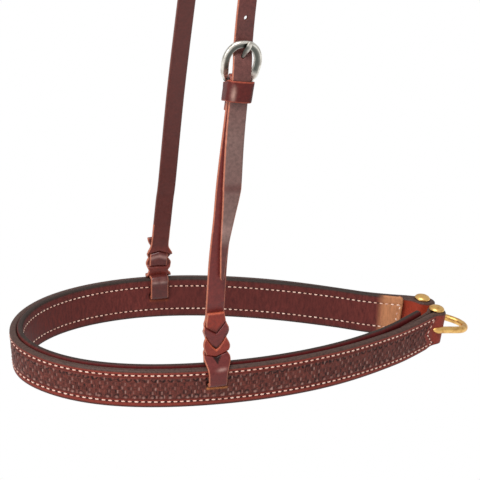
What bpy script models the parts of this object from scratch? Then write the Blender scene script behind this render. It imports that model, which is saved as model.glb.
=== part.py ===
"""Western tie-down noseband: a stitched two-layer nose band hung on a half-inch strap.

The part hangs from the middle of its crown strap. The origin is the underside of the
strap at that middle, Z is up, X runs from the nose to the tie-down bow, and the wearer's
near side is at minus Y. All sizes are in metres.
"""
import math

import bmesh
import bpy
import numpy as np

for item in list(bpy.data.objects):
    bpy.data.objects.remove(item, do_unlink=True)

# sizes of the whole part
crown_height = 0.489
band_length = 0.2958
band_width = 0.1448
nose_reach = 0.1576
band_sag = 0.0019
bow_end_drop = 0.0173
fit_gap = 0.0003

# Two leather layers of the nose band and their stitched build-up.
outer_height = 0.0268
outer_drop = 0.0006
outer_thickness = 0.0049
outer_edge_round = 0.0016
lining_height = 0.0300
lining_thickness = 0.0041
lining_edge_round = 0.0015
lining_end_setback = 0.0125
tail_length = 0.036
tail_tip_thickness = 0.0009
tail_root_thickness = 0.0024
skive_length = 0.016

# Pins, folds and the bow that joins the two ends of the band.
pin_spacing = 0.0198
pin_skew = 0.0034
pin_radius = 0.0020
pin_fold_thickness = 0.0046
pin_pocket_radius = 0.0024
tab_tilt_degrees = 9.0
tab_tilt_run = 0.045
tab_level_run = 0.022
tab_lift = 0.0020
pocket_length = 0.0070
dome_radius = 0.0048
dome_height = 0.0030
foot_height = 0.0011
dome_rim = 0.0006
screw_shank_radius = 0.0011
screw_shank_length = 0.012
bow_wire_radius = 0.0024
bow_eye_gap = 0.0002
bow_reach = 0.0318
bow_rise = 0.0004
bow_droop_degrees = 8.0
bow_cut_gap = 0.0004

# Hanger strap, its plaited end and the slot that it is threaded through.
strap_width = 0.0127
strap_thickness = 0.0028
strap_bend_radius = 0.0020
slot_play = 0.0006
hanger_gap = 0.0009
hanger_reach = 0.1177
slot_rise = {-1: 0.0012, 1: 0.0002}
outside_join = (0.0130, 0.0185)
inside_join = (0.0152, 0.0208)
knot_swell = 0.0046
knot_depth = 0.00135
tag_height = {-1: 0.0520, 1: 0.0465}
knot_end = {-1: 0.0600, 1: 0.0545}
knot_sway = {-1: -0.0002, 1: 0.0024}
slit_width = 0.0030
slit_length = 0.0036
cross_blend = 0.0026
poll_radius = 0.0240
tag_extra = 0.0002
tag_narrowing = 0.0024
row_step = 0.0110
knot_row_step = 0.0015
tag_row_step = 0.0013
tag_row_count = 39

# Buckle, keeper and the pointed end of the crown strap.
heel_bar_radius = 0.0014
heel_bar_reach = 0.0084
frame_face = 0.0053
frame_thickness = 0.0034
frame_height = 0.0258
frame_half_width = 0.0108
frame_tilt_degrees = 13.0
tongue_width = 0.0026
tongue_thickness = 0.0018
tongue_slot_width = 0.0040
tongue_slot_top = 0.0075
tongue_slot_bottom = 0.0052
tongue_slot_depth = 0.020
heel_fold_tail = 0.0200
heel_fold_closing = 0.0090
keeper_width = 0.0121
keeper_thickness = 0.0018
keeper_drop = -0.0020
keeper_inner_width = 0.0146
keeper_corner = 0.0024
hole_radius = 0.00175
hole_spacing = 0.0242
hole_count = 4
tongue_hole_height = 0.0154
tongue_hole_length = 0.0112
tongue_hole_width = 0.0040
billet_tip_radius = 0.0014
billet_taper_start = 0.0690
billet_length = 0.1370
cut_overrun = 0.0040

# Plan of the nose band: control points along the length and across the width.
near_plan_shares = ((0.0, -0.010), (0.0, -0.124), (0.090, -0.397), (0.392, -0.515),
                    (0.728, -0.420), (0.915, -0.176))
far_plan_shares = ((0.0, -0.010), (0.0, 0.130), (0.083, 0.425), (0.377, 0.576),
                   (0.701, 0.394), (0.912, 0.137))
near_lean_degrees = (3.85, 1.2, 1.2, 4.1)
far_lean_degrees = (3.85, 1.0, 1.6, 4.9)
lean_shares = (0.0, 0.35, 0.70, 1.0)

# Hanging legs: height up to the crown, spread of the legs and how far they lean to the crown.
near_leg_shares = ((0.1237, 1.000, 0.000), (0.1800, 0.972, 0.056), (0.2351, 0.930, 0.150),
                   (0.2895, 0.893, 0.229), (0.3450, 0.848, 0.310))
far_leg_shares = ((0.1500, 0.990, 0.115), (0.1810, 0.969, 0.150), (0.3200, 0.860, 0.270),
                  (0.4604, 0.736, 0.402), (0.5800, 0.625, 0.525), (0.6987, 0.520, 0.644),
                  (0.8000, 0.430, 0.760), (0.8700, 0.365, 0.840))
upper_near_shares = ((0.8700, 0.395, 0.985), (0.7900, 0.440, 0.955), (0.6987, 0.505, 0.898),
                     (0.6100, 0.585, 0.810), (0.5400, 0.655, 0.715))
heel_shares = (0.4197, 0.7755, 0.480)
heel_lean_shares = (0.170, 0.140)

# Crown strap past the buckle: across, along and outward from the heel bar.
buckle_pass = ((0.0012, 0.0420, -0.0008), (0.0010, 0.0330, -0.0014), (0.0008, 0.0275, -0.0012),
               (0.0006, 0.0235, -0.0008), (0.0004, 0.0195, 0.0004), (0.0002, 0.0150, 0.0034),
               (0.0001, 0.0080, 0.0056), (0.0001, 0.0010, 0.0066), (0.0003, -0.0060, 0.0056),
               (0.0006, -0.0140, 0.0048), (0.0012, -0.0300, 0.0047))
billet_side = (0.0013, 0.0024, 0.0020, 0.0014, 0.0008)
billet_down = (0.0440, 0.0640, 0.0860, 0.1080, 0.1262)
billet_out = (0.0045, 0.0044, 0.0044, 0.0044, 0.0046)

# Swapping lines of the plaited ends: height at the middle and rise towards the edges.
cross_heights = {-1: (0.0203, 0.0252, 0.0372), 1: (0.0200, 0.0262, 0.0350)}
cross_rise_shares = {-1: (0.60, 1.20, 1.75), 1: (0.10, 0.20, 0.10)}
swell_heights = {-1: (0.0235, 0.0305, 0.0415), 1: (0.0228, 0.0292, 0.0378)}
swell_reach = {-1: 0.0060, 1: 0.0045}

# Half outline of the buckle frame and of the bow, from the end that is held.
frame_outline_shares = ((0.785, 0.0), (0.862, 0.10), (0.945, 0.26), (1.0, 0.50),
                        (0.930, 0.70), (0.720, 0.865), (0.390, 0.968), (0.0, 1.0))
bow_outline_shares = ((1.010, 0.0), (1.035, 0.10), (1.025, 0.20), (0.975, 0.34),
                      (0.925, 0.48), (0.850, 0.63), (0.735, 0.77), (0.525, 0.89),
                      (0.275, 0.970), (0.0, 1.0))
tongue_line = ((0.0010, -0.0026), (-0.0012, -0.0027), (-0.0026, -0.0012), (-0.0027, 0.0010),
               (-0.0014, 0.0027), (0.0004, 0.0034), (0.0009, 0.0062), (0.0006, 0.0100),
               (0.0009, 0.0130), (0.0022, 0.0160), (0.0046, 0.0192), (0.0075, 0.0224),
               (0.0092, 0.0258), (0.0096, 0.0282))
column_shares = (-1.0, -0.72, -0.40, -0.12, 0.12, 0.40, 0.72, 1.0)

leather = {"tooled": ("tooled_harness_leather", (0.105, 0.032, 0.026), 0.45, 0.0),
           "lining": ("lining_leather", (0.115, 0.034, 0.028), 0.50, 0.0),
           "strap": ("strap_leather", (0.118, 0.040, 0.034), 0.42, 0.0)}
metal = {"nickel": ("antique_nickel", (0.56, 0.54, 0.50), 0.28, 1.0),
         "brass": ("solid_brass", (0.78, 0.52, 0.19), 0.24, 1.0)}


def material(entry):
    """Plain surface material for one kind of leather or metal."""
    name, colour, roughness, metallic = entry
    made = bpy.data.materials.get(name) or bpy.data.materials.new(name)
    made.use_nodes = True
    shader = made.node_tree.nodes["Principled BSDF"]
    shader.inputs["Base Color"].default_value = (*colour, 1.0)
    shader.inputs["Roughness"].default_value = roughness
    shader.inputs["Metallic"].default_value = metallic
    made.diffuse_color = (*colour, 1.0)
    return made


def mesh_object(name, points, faces, entry=None, smooth=True):
    """Closed mesh of triangles from points and faces, with its normals turned outward."""
    mesh = bpy.data.meshes.new(name)
    mesh.from_pydata([tuple(map(float, p)) for p in points], [], faces)
    build = bmesh.new()
    build.from_mesh(mesh)
    bmesh.ops.remove_doubles(build, verts=build.verts, dist=1e-7)
    bmesh.ops.triangulate(build, faces=build.faces)
    bmesh.ops.recalc_face_normals(build, faces=build.faces)
    build.to_mesh(mesh)
    build.free()
    made = bpy.data.objects.new(name, mesh)
    bpy.context.scene.collection.objects.link(made)
    if entry:
        mesh.materials.append(material(entry))
    mesh.shade_smooth() if smooth else None
    return made


def combine(target, other, operation):
    """Add a boolean with a hidden partner object."""
    step = target.modifiers.new(operation.lower() + "_" + other.name, "BOOLEAN")
    step.operation = operation
    step.solver = "EXACT"
    step.object = other
    other.hide_render = True
    other.display_type = "WIRE"
    return step


def unit(vector):
    vector = np.asarray(vector, float)
    return vector / np.linalg.norm(vector)


def ease(value):
    """Smooth step from 0 to 1."""
    value = np.clip(value, 0.0, 1.0)
    return value * value * (3 - 2 * value)


def clamped_spline(points, shares):
    """Cubic B-spline that starts at the first and ends at the last control point."""
    points = np.asarray(points, float)
    count = len(points)
    knots = np.concatenate([[0] * 3, np.linspace(0, 1, count - 2), [1] * 3])
    result = []
    for share in np.clip(shares, 0, 1 - 1e-9):
        basis = [1.0 if knots[i] <= share < knots[i + 1] else 0.0 for i in range(len(knots) - 1)]
        for degree in (1, 2, 3):
            for i in range(len(knots) - 1 - degree):
                low, high = knots[i + degree] - knots[i], knots[i + degree + 1] - knots[i + 1]
                left = (share - knots[i]) / low * basis[i] if low > 0 else 0.0
                right = (knots[i + degree + 1] - share) / high * basis[i + 1] if high > 0 else 0.0
                basis[i] = left + right
        result.append(np.dot(basis[:count], points))
    return np.array(result)


def through(points, step):
    """Line with even steps along a Catmull-Rom curve through the points."""
    points = np.asarray(points, float)
    padded = np.vstack([2 * points[0] - points[1], points, 2 * points[-1] - points[-2]])
    dense = []
    for i in range(1, len(padded) - 2):
        a, b, c, d = padded[i - 1:i + 3]
        for t in np.linspace(0, 1, 24, endpoint=False):
            dense.append(0.5 * (2 * b + (c - a) * t + (2 * a - 5 * b + 4 * c - d) * t * t
                                + (3 * b - a - 3 * c + d) * t ** 3))
    dense = np.array(dense + [points[-1]])
    run = np.concatenate([[0], np.cumsum(np.linalg.norm(np.diff(dense, axis=0), axis=1))])
    count = max(2, int(round(run[-1] / step)) + 1)
    even = np.linspace(0, run[-1], count)
    return np.stack([np.interp(even, run, dense[:, k]) for k in range(dense.shape[1])], axis=1)


def tangents(line, closed=False):
    """Unit directions along a line of points."""
    if closed:
        steps = np.roll(line, -1, axis=0) - np.roll(line, 1, axis=0)
    else:
        steps = np.gradient(line, axis=0)
    return steps / np.linalg.norm(steps, axis=1)[:, None]


def loft(name, rings, entry, closed=False, smooth=True):
    """Skin rings of equal point count; open lofts get a face at each end."""
    count, size = len(rings), len(rings[0])
    points = [p for ring in rings for p in ring]
    faces = []
    for i in range(count if closed else count - 1):
        here, after = i * size, (i + 1) % count * size
        for j in range(size):
            k = (j + 1) % size
            faces.append((here + j, here + k, after + k, after + j))
    if not closed:
        faces.append(tuple(range(size)))
        faces.append(tuple((count - 1) * size + j for j in range(size)))
    return mesh_object(name, points, faces, entry, smooth)


# line of the nose band
def half_line(shares, side, lean):
    """Middle line of one half from the nose to the pin: place, up direction and share."""
    table = [(share_x * band_length - nose_reach, share_y * band_width)
             for share_x, share_y in shares]
    pin_x = band_length - nose_reach - side * pin_skew / 2
    table.append((pin_x, side * pin_spacing / 2))
    share = np.linspace(0, 1, 260)
    plan = clamped_spline(table, share)
    along = tangents(plan)
    outward = np.stack([-along[:, 1], along[:, 0]], axis=1) * side
    height = -crown_height - band_sag * 4 * share * (1 - share) - bow_end_drop * share ** 2
    lean = np.radians(np.interp(share, lean_shares, lean))
    up = np.column_stack([outward * np.sin(lean)[:, None], np.cos(lean)])
    return np.column_stack([plan, height]), up


near_half, near_up = half_line(near_plan_shares, -1, near_lean_degrees)
far_half, far_up = half_line(far_plan_shares, 1, far_lean_degrees)
band_line = np.vstack([near_half[::-1], far_half[1:]])
band_up = np.vstack([near_up[::-1], far_up[1:]])
band_run = np.concatenate([[0], np.cumsum(np.linalg.norm(np.diff(band_line[:, :2], axis=0),
                                                         axis=1))])
band_total = band_run[-1]
tab_tilt = math.radians(tab_tilt_degrees)
tab_up = np.array([math.sin(tab_tilt), 0.0, math.cos(tab_tilt)])
from_pin = np.minimum(band_run, band_total - band_run)
tab_blend = ease(1 - from_pin / tab_tilt_run)[:, None]
band_up = band_up * (1 - tab_blend) + tab_up * tab_blend
band_up = band_up / np.linalg.norm(band_up, axis=1)[:, None]
band_along = tangents(band_line[:, :2])
band_line[:, 2] += tab_lift * tab_blend[:, 0]
level_share = np.clip(1 - from_pin / tab_level_run, 0, 1) ** 2
for end, inner, half in ((0, 6, band_run <= band_total / 2), (-1, -7, band_run > band_total / 2)):
    reach = abs(band_run[inner] - band_run[end])
    wanted = math.tan(tab_tilt) * (band_line[end, 0] - band_line[inner, 0]) / reach
    tab_slope = wanted - (band_line[inner, 2] - band_line[end, 2]) / reach
    band_line[:, 2] += tab_slope * from_pin * level_share * half


def band_place(run, out, rise):
    """World place at a run along the band, an outward offset and a height on the strap."""
    spot = np.array([np.interp(run, band_run, band_line[:, k]) for k in range(3)])
    up = np.array([np.interp(run, band_run, band_up[:, k]) for k in range(3)])
    along = unit([np.interp(run, band_run, band_along[:, k]) for k in range(2)])
    outward = np.array([-along[1], along[0], 0.0])
    outward = unit(outward - up * np.dot(outward, up))
    return spot + outward * out + up * rise


def strip_ring(placer, middle, thickness, height, edge_round):
    """Rounded cross-section of a leather layer, placed by a function of (out, rise)."""
    rounding = min(edge_round, thickness * 0.48)
    ring = []
    for out_side, rise_side, start in ((1, 1, 0), (-1, 1, 90), (-1, -1, 180), (1, -1, 270)):
        for turn in (0, 45, 90):
            angle = math.radians(start + turn)
            out = out_side * (thickness / 2 - rounding) + rounding * math.cos(angle)
            rise = rise_side * (height / 2 - rounding) + rounding * math.sin(angle)
            ring.append(placer(middle + out, rise))
    return ring


def skive(run):
    """Share of the full thickness that is left near a fold."""
    return ease(run / skive_length)


def pocket_face(run):
    """Distance of a layer's inner face from the line: the layers close up behind the pin."""
    return pin_pocket_radius + (fit_gap / 2 - pin_pocket_radius) * ease(run / pocket_length)


def outer_offset(run):
    """Middle and thickness of the outer layer at a distance from the pin."""
    thickness = pin_fold_thickness + (outer_thickness - pin_fold_thickness) * skive(run)
    return pocket_face(run) + thickness / 2, thickness


def tail_offset(run):
    """Middle and thickness of the folded-back tail at a distance from the pin."""
    taper = (run - lining_end_setback) / (tail_length - lining_end_setback)
    thin = tail_root_thickness + (tail_tip_thickness - tail_root_thickness) * np.clip(taper, 0, 1)
    near_fold = ease(run / lining_end_setback)
    thickness = pin_fold_thickness + (thin - pin_fold_thickness) * near_fold
    return -(pocket_face(run) + thickness / 2), thickness


def lining_offset(run):
    """Middle of the lining: it steps inward over the folded-back tail."""
    stretch = tail_length * 1.6
    taper = np.clip((run - lining_end_setback) / (stretch - lining_end_setback), 0, 1)
    room = (tail_root_thickness + fit_gap) * (1 - taper)
    return -(fit_gap / 2 + room + lining_thickness / 2)


def outer_band():
    """Outer strap: folded round both pins, its skived tails tucked inside."""
    rings = []
    ends = ((0.0, 1), (band_total, -1))
    for index, (pin_run, heading) in enumerate(ends):
        tail = []
        tail_rows = [*np.linspace(tail_length, pocket_length * 1.6, 6),
                     *np.linspace(pocket_length * 1.6, 0, 7)[1:-1]]
        for run in tail_rows:
            middle, thickness = tail_offset(run)
            place = (lambda o, r, s=pin_run + heading * run: band_place(s, o, r - outer_drop))
            tail.append(strip_ring(place, middle, thickness, outer_height, outer_edge_round))
        fold = []
        centre = band_place(pin_run, 0.0, 0.0)
        along = unit(band_place(pin_run + heading * pin_pocket_radius, 0.0, 0.0) - centre)
        forward = unit(tab_up * np.dot(along, tab_up) - along)
        outward = unit(band_place(pin_run, pin_pocket_radius, 0.0) - centre)
        for turn in np.linspace(-90, 90, 11):
            angle = math.radians(turn)
            ray = outward * math.sin(angle) + forward * math.cos(angle)
            place = (lambda o, r, c=centre, d=ray: c + d * o + tab_up * (r - outer_drop))
            radius = pin_pocket_radius + pin_fold_thickness / 2
            fold.append(strip_ring(place, radius, pin_fold_thickness, outer_height,
                                   outer_edge_round))
        for ring in tail:
            ring[:] = mirror_ring(ring)
        part = tail + fold
        if index == 0:
            rings += part
            near_rows = [*np.linspace(0, pocket_length, 5)[1:],
                         *np.linspace(pocket_length, skive_length, 4)[1:]]
            steps = list(near_rows)
            middle_run = np.linspace(skive_length, band_total - skive_length,
                                     int(band_total / (row_step * 0.8)))
            steps += list(middle_run[1:])
            steps += [band_total - row for row in near_rows[:-1]][::-1]
            for run in steps:
                middle, thickness = outer_offset(min(run, band_total - run))
                place = (lambda o, r, s=run: band_place(s, o, r - outer_drop))
                rings.append(strip_ring(place, middle, thickness, outer_height,
                                        outer_edge_round))
        else:
            rings += part[::-1]
    return loft("outer_band", rings, leather["tooled"])


def mirror_ring(ring):
    """Turn a cross-section over, so that a fold keeps its outer face on the outside."""
    size = len(ring) // 4
    first, second, third, fourth = (ring[i * size:(i + 1) * size] for i in range(4))
    return [*second[::-1], *first[::-1], *fourth[::-1], *third[::-1]]


def lining_band():
    """Inner strap: stitched to the outer one and ending short of the folds."""
    rings = []
    start, end = lining_end_setback, band_total - lining_end_setback
    steps = list(np.linspace(start, tail_length * 1.6, 9))
    steps += list(np.linspace(tail_length * 1.6, band_total - tail_length * 1.6,
                              int(band_total / (row_step * 0.9)))[1:])
    steps += list(np.linspace(band_total - tail_length * 1.6, end, 9)[1:])
    caps = [(start, 0.45), (start + lining_edge_round * 0.4, 0.8)]
    steps = [s for s in steps if start + lining_edge_round < s < end - lining_edge_round]
    rows = caps + [(start + lining_edge_round, 1.0)] + [(s, 1.0) for s in steps]
    rows += [(end - lining_edge_round, 1.0)] + [(start + end - s, share) for s, share in caps[::-1]]
    for run, share in rows:
        middle = lining_offset(min(run, band_total - run))
        thickness = lining_thickness * share
        height = lining_height - lining_thickness * (1 - share)
        place = (lambda o, r, s=run: band_place(s, o, r))
        rings.append(strip_ring(place, middle, thickness, height, lining_edge_round * share))
    return loft("lining_band", rings, leather["lining"])


def slot_cutter(name, spot):
    """Slot through both layers, just larger than the strap."""
    frame = hanger_frame(spot)
    wide = strap_width / 2 + slot_play
    high = strap_thickness / 2 + slot_play
    deep = outer_thickness + lining_thickness + cut_overrun
    points = []
    for u in (-wide, wide):
        for v in (-high, high):
            for o in (-deep, deep):
                points.append(frame(u, v, o))
    faces = [(0, 1, 3, 2), (4, 6, 7, 5), (0, 4, 5, 1), (2, 3, 7, 6), (0, 2, 6, 4), (1, 5, 7, 3)]
    return mesh_object(name, points, faces, smooth=False)


def hanger_run(side):
    """Run along the band at which a hanger is threaded through."""
    wanted = hanger_reach - nose_reach
    rows = np.where(band_line[:, 1] * side > 0)[0]
    best = rows[np.argmin(np.abs(band_line[rows, 0] - wanted))]
    return band_run[best]


def hanger_way(side):
    """Direction of the band at a hanger, pointing to the bow."""
    run = hanger_run(side)
    way = unit([np.interp(run, band_run, band_along[:, k]) for k in range(2)])
    return np.array([way[0], way[1], 0.0]) * math.copysign(1, way[0])


def hanger_frame(side):
    """Place in (across, up, outward) about the slot of one hanger."""
    spot = band_place(hanger_run(side), 0.0, slot_rise[side])
    way = hanger_way(side)
    outward = side * np.array([-way[1], way[0], 0.0])

    def frame(u, v, o):
        return spot + way * u + outward * o + np.array([0.0, 0.0, v])
    return frame


# hanger straps
strap_surface_out = outer_thickness + strap_thickness / 2 + hanger_gap
strap_surface_in = lining_thickness + strap_thickness / 2 + hanger_gap


def cross_sign(v, across, side):
    """Plus one where the down-going layer lies outside, minus one where it lies inside."""
    sign = 1.0
    value = 1.0
    for height, rise in zip(cross_heights[side], cross_rise_shares[side]):
        line = height + rise * abs(across) * 0.92
        value = value - 2 * ease((v - line) / cross_blend + 0.5) * sign
        sign = -sign
    return value


def swell(v, rows, side):
    """Extra half width where slit halves are spread round the other layer."""
    extra = 0.0
    for height in swell_heights[side][rows]:
        extra = max(extra, math.exp(-((v - height) / swell_reach[side]) ** 2))
    return extra * knot_swell / 2


def layer_join(v, span):
    """Share of the way from the face of the band to the middle of the plait."""
    return ease((v - span[0]) / (span[1] - span[0]))


def knot_path(direction, side):
    """Centre line (across, up, outward) of a plaited end: up the inside or the outside."""
    if direction == "inside":
        rows = np.linspace(tag_height[side], strap_bend_radius + tag_row_step, tag_row_count)
        start, span = -strap_surface_in, inside_join
    else:
        rows = np.arange(strap_bend_radius + knot_row_step, knot_end[side], knot_row_step)
        start, span = strap_surface_out, outside_join
    return [(knot_shift(v, side), v, start * (1 - layer_join(v, span))) for v in rows]


def knot_shift(v, side):
    """Sideways lean of a plaited end, which grows towards its leg."""
    share = max(0.0, v - inside_join[0]) / (knot_end[side] - inside_join[0])
    return knot_sway[side] * share ** 2


def threading():
    """Centre line of the strap through the slot, from the inside to the outside."""
    radius = strap_bend_radius
    line = []
    for turn in (0, 30, 60, 90):
        angle = math.radians(turn)
        line.append((0.0, radius - radius * math.sin(angle),
                     -strap_surface_in + radius - radius * math.cos(angle)))
    for turn in (90, 60, 30, 0):
        angle = math.radians(turn)
        line.append((0.0, radius - radius * math.sin(angle),
                     strap_surface_out - radius + radius * math.cos(angle)))
    return line


def ribbon(name, line, half_widths, ways, side, lift, thickness=strap_thickness):
    """Flat strap along a line, its width along `ways`; `lift` moves a column off the line."""
    line = np.asarray(line, float)
    along = tangents(line)
    rings = []
    for i, spot in enumerate(line):
        wide = unit(ways[i] - along[i] * np.dot(ways[i], along[i]))
        face = side * np.cross(along[i], wide)
        columns = []
        for share in column_shares:
            u = share * half_widths[i]
            columns.append((u, lift(i, u)))
        ring = [spot + wide * u + face * (off + thickness / 2) for u, off in columns]
        ring += [spot + wide * u + face * (off - thickness / 2) for u, off in columns[::-1]]
        rings.append(ring)
    return loft(name, rings, leather["strap"], smooth=False)


def plait_lift(v, u, side):
    """Depth of the plait in the strap's own facing direction."""
    fade = 1 - ease((v - tag_height[side]) / (knot_end[side] - tag_height[side]))
    return knot_depth * cross_sign(v, u, side) * layer_join(v, outside_join) * fade


def plait_tag(name, side):
    """Upper end of the strap, plaited through the slits of the down-going layer."""
    frame = hanger_frame(side)
    rows = knot_path("inside", side)
    path = [p for p in rows if p[1] > inside_join[0] * 0.45]
    root = (path[-1][1] + rows[len(path)][1]) / 2
    path.append((knot_shift(root, side), root, path[-1][2]))
    line = [frame(*p) for p in path]
    heights = [p[1] for p in path]
    halves = []
    for v in heights:
        crossing = cross_heights[side][2]
        pinch = ease((v - crossing) / (tag_height[side] - crossing))
        halves.append(strap_width / 2 + tag_extra + swell(v, slice(1, 2), side)
                      - tag_narrowing * pinch)
    ways = [hanger_way(side)] * len(line)
    return ribbon(name, line, halves, ways, side,
                  lambda i, u: plait_lift(heights[i], u, side), strap_thickness + tag_extra)


def slit_cutter(name, side):
    """Three pointed slit ends that show under the crossings."""
    frame = hanger_frame(side)
    points, faces = [], []
    for index, height in enumerate(cross_heights[side]):
        outer_side = 1 if index % 2 == 0 else -1
        base = len(points)
        top = height - slit_length * 0.1
        corners = ((0.0, top - slit_length), (-slit_width / 2, top), (slit_width / 2, top))
        for depth in (outer_side * knot_depth * 0.2, outer_side * (knot_depth + cut_overrun)):
            points += [frame(u + knot_shift(height, side), v, depth) for u, v in corners]
        faces += [tuple(base + k for k in f) for f in
                  ((0, 1, 2), (3, 5, 4), (0, 3, 4, 1), (1, 4, 5, 2), (2, 5, 3, 0))]
    return mesh_object(name, points, faces, smooth=False)


def leg_point(shares, side):
    """World place of a leg: height share, spread share and lean share."""
    slot = hanger_frame(side)(0.0, 0.0, 0.0)
    height, spread, lean = shares
    return np.array([slot[0] * (1 - lean), slot[1] * spread, slot[2] * (1 - height)])


def heel_frame():
    """Place in (across, along, outward) about the heel bar of the buckle."""
    spot = leg_point(heel_shares, -1)
    along = unit([heel_lean_shares[0], heel_lean_shares[1], 1.0])
    across = unit(np.array([1.0, 0.0, 0.0]) - along * along[0])
    outward = -np.cross(along, across)

    def frame(u, v, o):
        return spot + across * u + along * v + outward * o
    return frame


heel = heel_frame()


def upper_arch():
    """Centre line over the poll, from the far leg to the near leg."""
    radius = poll_radius + strap_thickness / 2
    rise = strap_thickness / 2 - radius
    far_x = leg_point(far_leg_shares[-1], 1)[0] * 0.55
    near_x = leg_point(upper_near_shares[0], -1)[0] * 0.55
    line = []
    for turn in np.linspace(12, 168, 7):
        angle = math.radians(turn)
        share = (turn - 12) / 156
        x = far_x * (1 - share) ** 2 + near_x * share ** 2
        line.append((x * abs(math.cos(angle)), radius * math.cos(angle),
                     rise + radius * math.sin(angle)))
    return line


def billet_points():
    """Pointed end below the keeper, just in front of the cheek strap."""
    points = []
    for side_shift, down, out in zip(billet_side, billet_down, billet_out):
        base = cheek_at(heel(0.0, 0.0, 0.0)[2] - down)
        points.append(base + np.array([side_shift, -out, 0.0]))
    return points


def cheek_line():
    """Centre line of the near cheek strap from the plait up to the heel bar."""
    frame = hanger_frame(-1)
    start = [frame(*p) for p in knot_path("outside", -1)[-3:]]
    legs = [leg_point(s, -1) for s in near_leg_shares]
    top = heel_fold_front(0.0)
    below = [heel(0.0, -heel_fold_tail * share, fold_out(heel_fold_tail * share))
             for share in (1.0, 0.6, 0.4, 0.25, 0.12)]
    return through([start[-1], *legs[1:-1], *below, top], row_step * 0.6)


def fold_out(drop):
    """Outward offset of the cheek strap's centre at a distance below the heel bar."""
    wide = heel_bar_radius + fit_gap + strap_thickness / 2
    close = strap_thickness / 2 + fit_gap / 2
    return wide + (close - wide) * ease(drop / heel_fold_closing)


def heel_fold_front(v):
    return heel(0.0, v, fold_out(0.0))


def cheek_at(height):
    """Centre of the cheek strap at a world height."""
    line = cheek_centre
    return np.array([np.interp(height, line[:, 2], line[:, k]) for k in range(3)])


cheek_centre = cheek_line()


def near_cheek_strap():
    """Short near-side strap: plaited at the band, folded round the heel bar."""
    frame = hanger_frame(-1)
    inside = [p for p in knot_path("inside", -1) if p[1] < inside_join[0] * 0.8]
    lower = inside + threading() + knot_path("outside", -1)
    line = [frame(*p) for p in lower]
    heights = [p[1] for p in lower]
    rises = [i >= len(inside) + len(threading()) for i in range(len(lower))]
    upper = list(cheek_centre[1:])
    fold = []
    for turn in np.linspace(15, 165, 8):
        angle = math.radians(turn)
        radius = heel_bar_radius + fit_gap + strap_thickness / 2
        fold.append(heel(0.0, radius * math.sin(angle), radius * math.cos(angle)))
    tail = [heel(0.0, -heel_fold_tail * share, -fold_out(heel_fold_tail * share))
            for share in np.linspace(0, 1, 7)]
    count = len(line)
    line = line + upper + fold + tail
    halves = []
    for i in range(len(line)):
        extra = swell(heights[i], slice(0, 3, 2), -1) if i < count and rises[i] else 0.0
        halves.append(strap_width / 2 + extra)

    def lift(i, u):
        return plait_lift(heights[i], u, -1) if i < count else 0.0
    heel_way = unit(heel(strap_width, 0.0, 0.0) - heel(0.0, 0.0, 0.0))
    ways = []
    for spot in line:
        share = np.clip((spot[2] - line[count][2]) / (line[-1][2] - line[count][2]), 0, 1)
        ways.append(hanger_way(-1) * (1 - share) + heel_way * share)
    made = ribbon("near_cheek_strap", line, halves, ways, -1, lift)
    combine(made, plait_tag("near_tag", -1), "UNION")
    combine(made, slit_cutter("near_slits", -1), "DIFFERENCE")
    combine(made, tongue_slot(), "DIFFERENCE")
    return made


def tongue_slot():
    """Opening in the fold for the tongue."""
    points = []
    for u in (-tongue_slot_width / 2, tongue_slot_width / 2):
        for v in (-tongue_slot_bottom, tongue_slot_top):
            for o in (-tongue_slot_depth / 2, tongue_slot_depth / 2):
                points.append(heel(u, v, o))
    faces = [(0, 1, 3, 2), (4, 6, 7, 5), (0, 4, 5, 1), (2, 3, 7, 6), (0, 2, 6, 4), (1, 5, 7, 3)]
    return mesh_object("tongue_slot", points, faces, smooth=False)


def crown_strap():
    """Long strap: plaited on the far side, over the poll, through the buckle to its point."""
    frame = hanger_frame(1)
    inside = [p for p in knot_path("inside", 1) if p[1] < inside_join[0] * 0.8]
    lower = inside + threading() + knot_path("outside", 1)
    line = [frame(*p) for p in lower]
    heights = [p[1] for p in lower]
    rises = [i >= len(inside) + len(threading()) for i in range(len(lower))]
    count = len(line)
    far_leg = [line[-1]] + [leg_point(s, 1) for s in far_leg_shares]
    near_leg = [leg_point(s, -1) for s in upper_near_shares]
    passing = [heel(*p) for p in buckle_pass]
    full = through([*far_leg, *upper_arch(), *near_leg, *passing, *billet_points()], row_step)
    start = len(full) - int((billet_length + frame_height * 2) / row_step)
    coarse = list(full[1:start])
    fine = list(through(full[start:], row_step * 0.4))
    line = line + coarse + fine
    whole = np.array(line)
    run = np.concatenate([[0], np.cumsum(np.linalg.norm(np.diff(whole, axis=0), axis=1))])
    left = run[-1] - run
    halves = []
    for i in range(len(line)):
        extra = swell(heights[i], slice(0, 3, 2), 1) if i < count and rises[i] else 0.0
        taper_run = billet_length - billet_taper_start
        taper = np.clip(left[i] / taper_run, 0, 1)
        half = billet_tip_radius + (strap_width / 2 - billet_tip_radius) * taper ** 0.85
        if left[i] < billet_tip_radius:
            half = half * math.sqrt(max(0.12, 1 - (1 - left[i] / billet_tip_radius) ** 2))
        halves.append(half + extra)

    def lift(i, u):
        return plait_lift(heights[i], u, 1) if i < count else 0.0
    level = np.array([1.0, 0.0, 0.0])
    shares = [ease((i - count) / count) for i in range(len(line))]
    ways = [hanger_way(1) * (1 - share) + level * share for share in shares]
    made = ribbon("crown_strap", line, halves, ways, 1, lift)
    combine(made, plait_tag("far_tag", 1), "UNION")
    combine(made, slit_cutter("far_slits", 1), "DIFFERENCE")
    combine(made, hole_cutter(whole[count:]), "DIFFERENCE")
    return made


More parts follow.
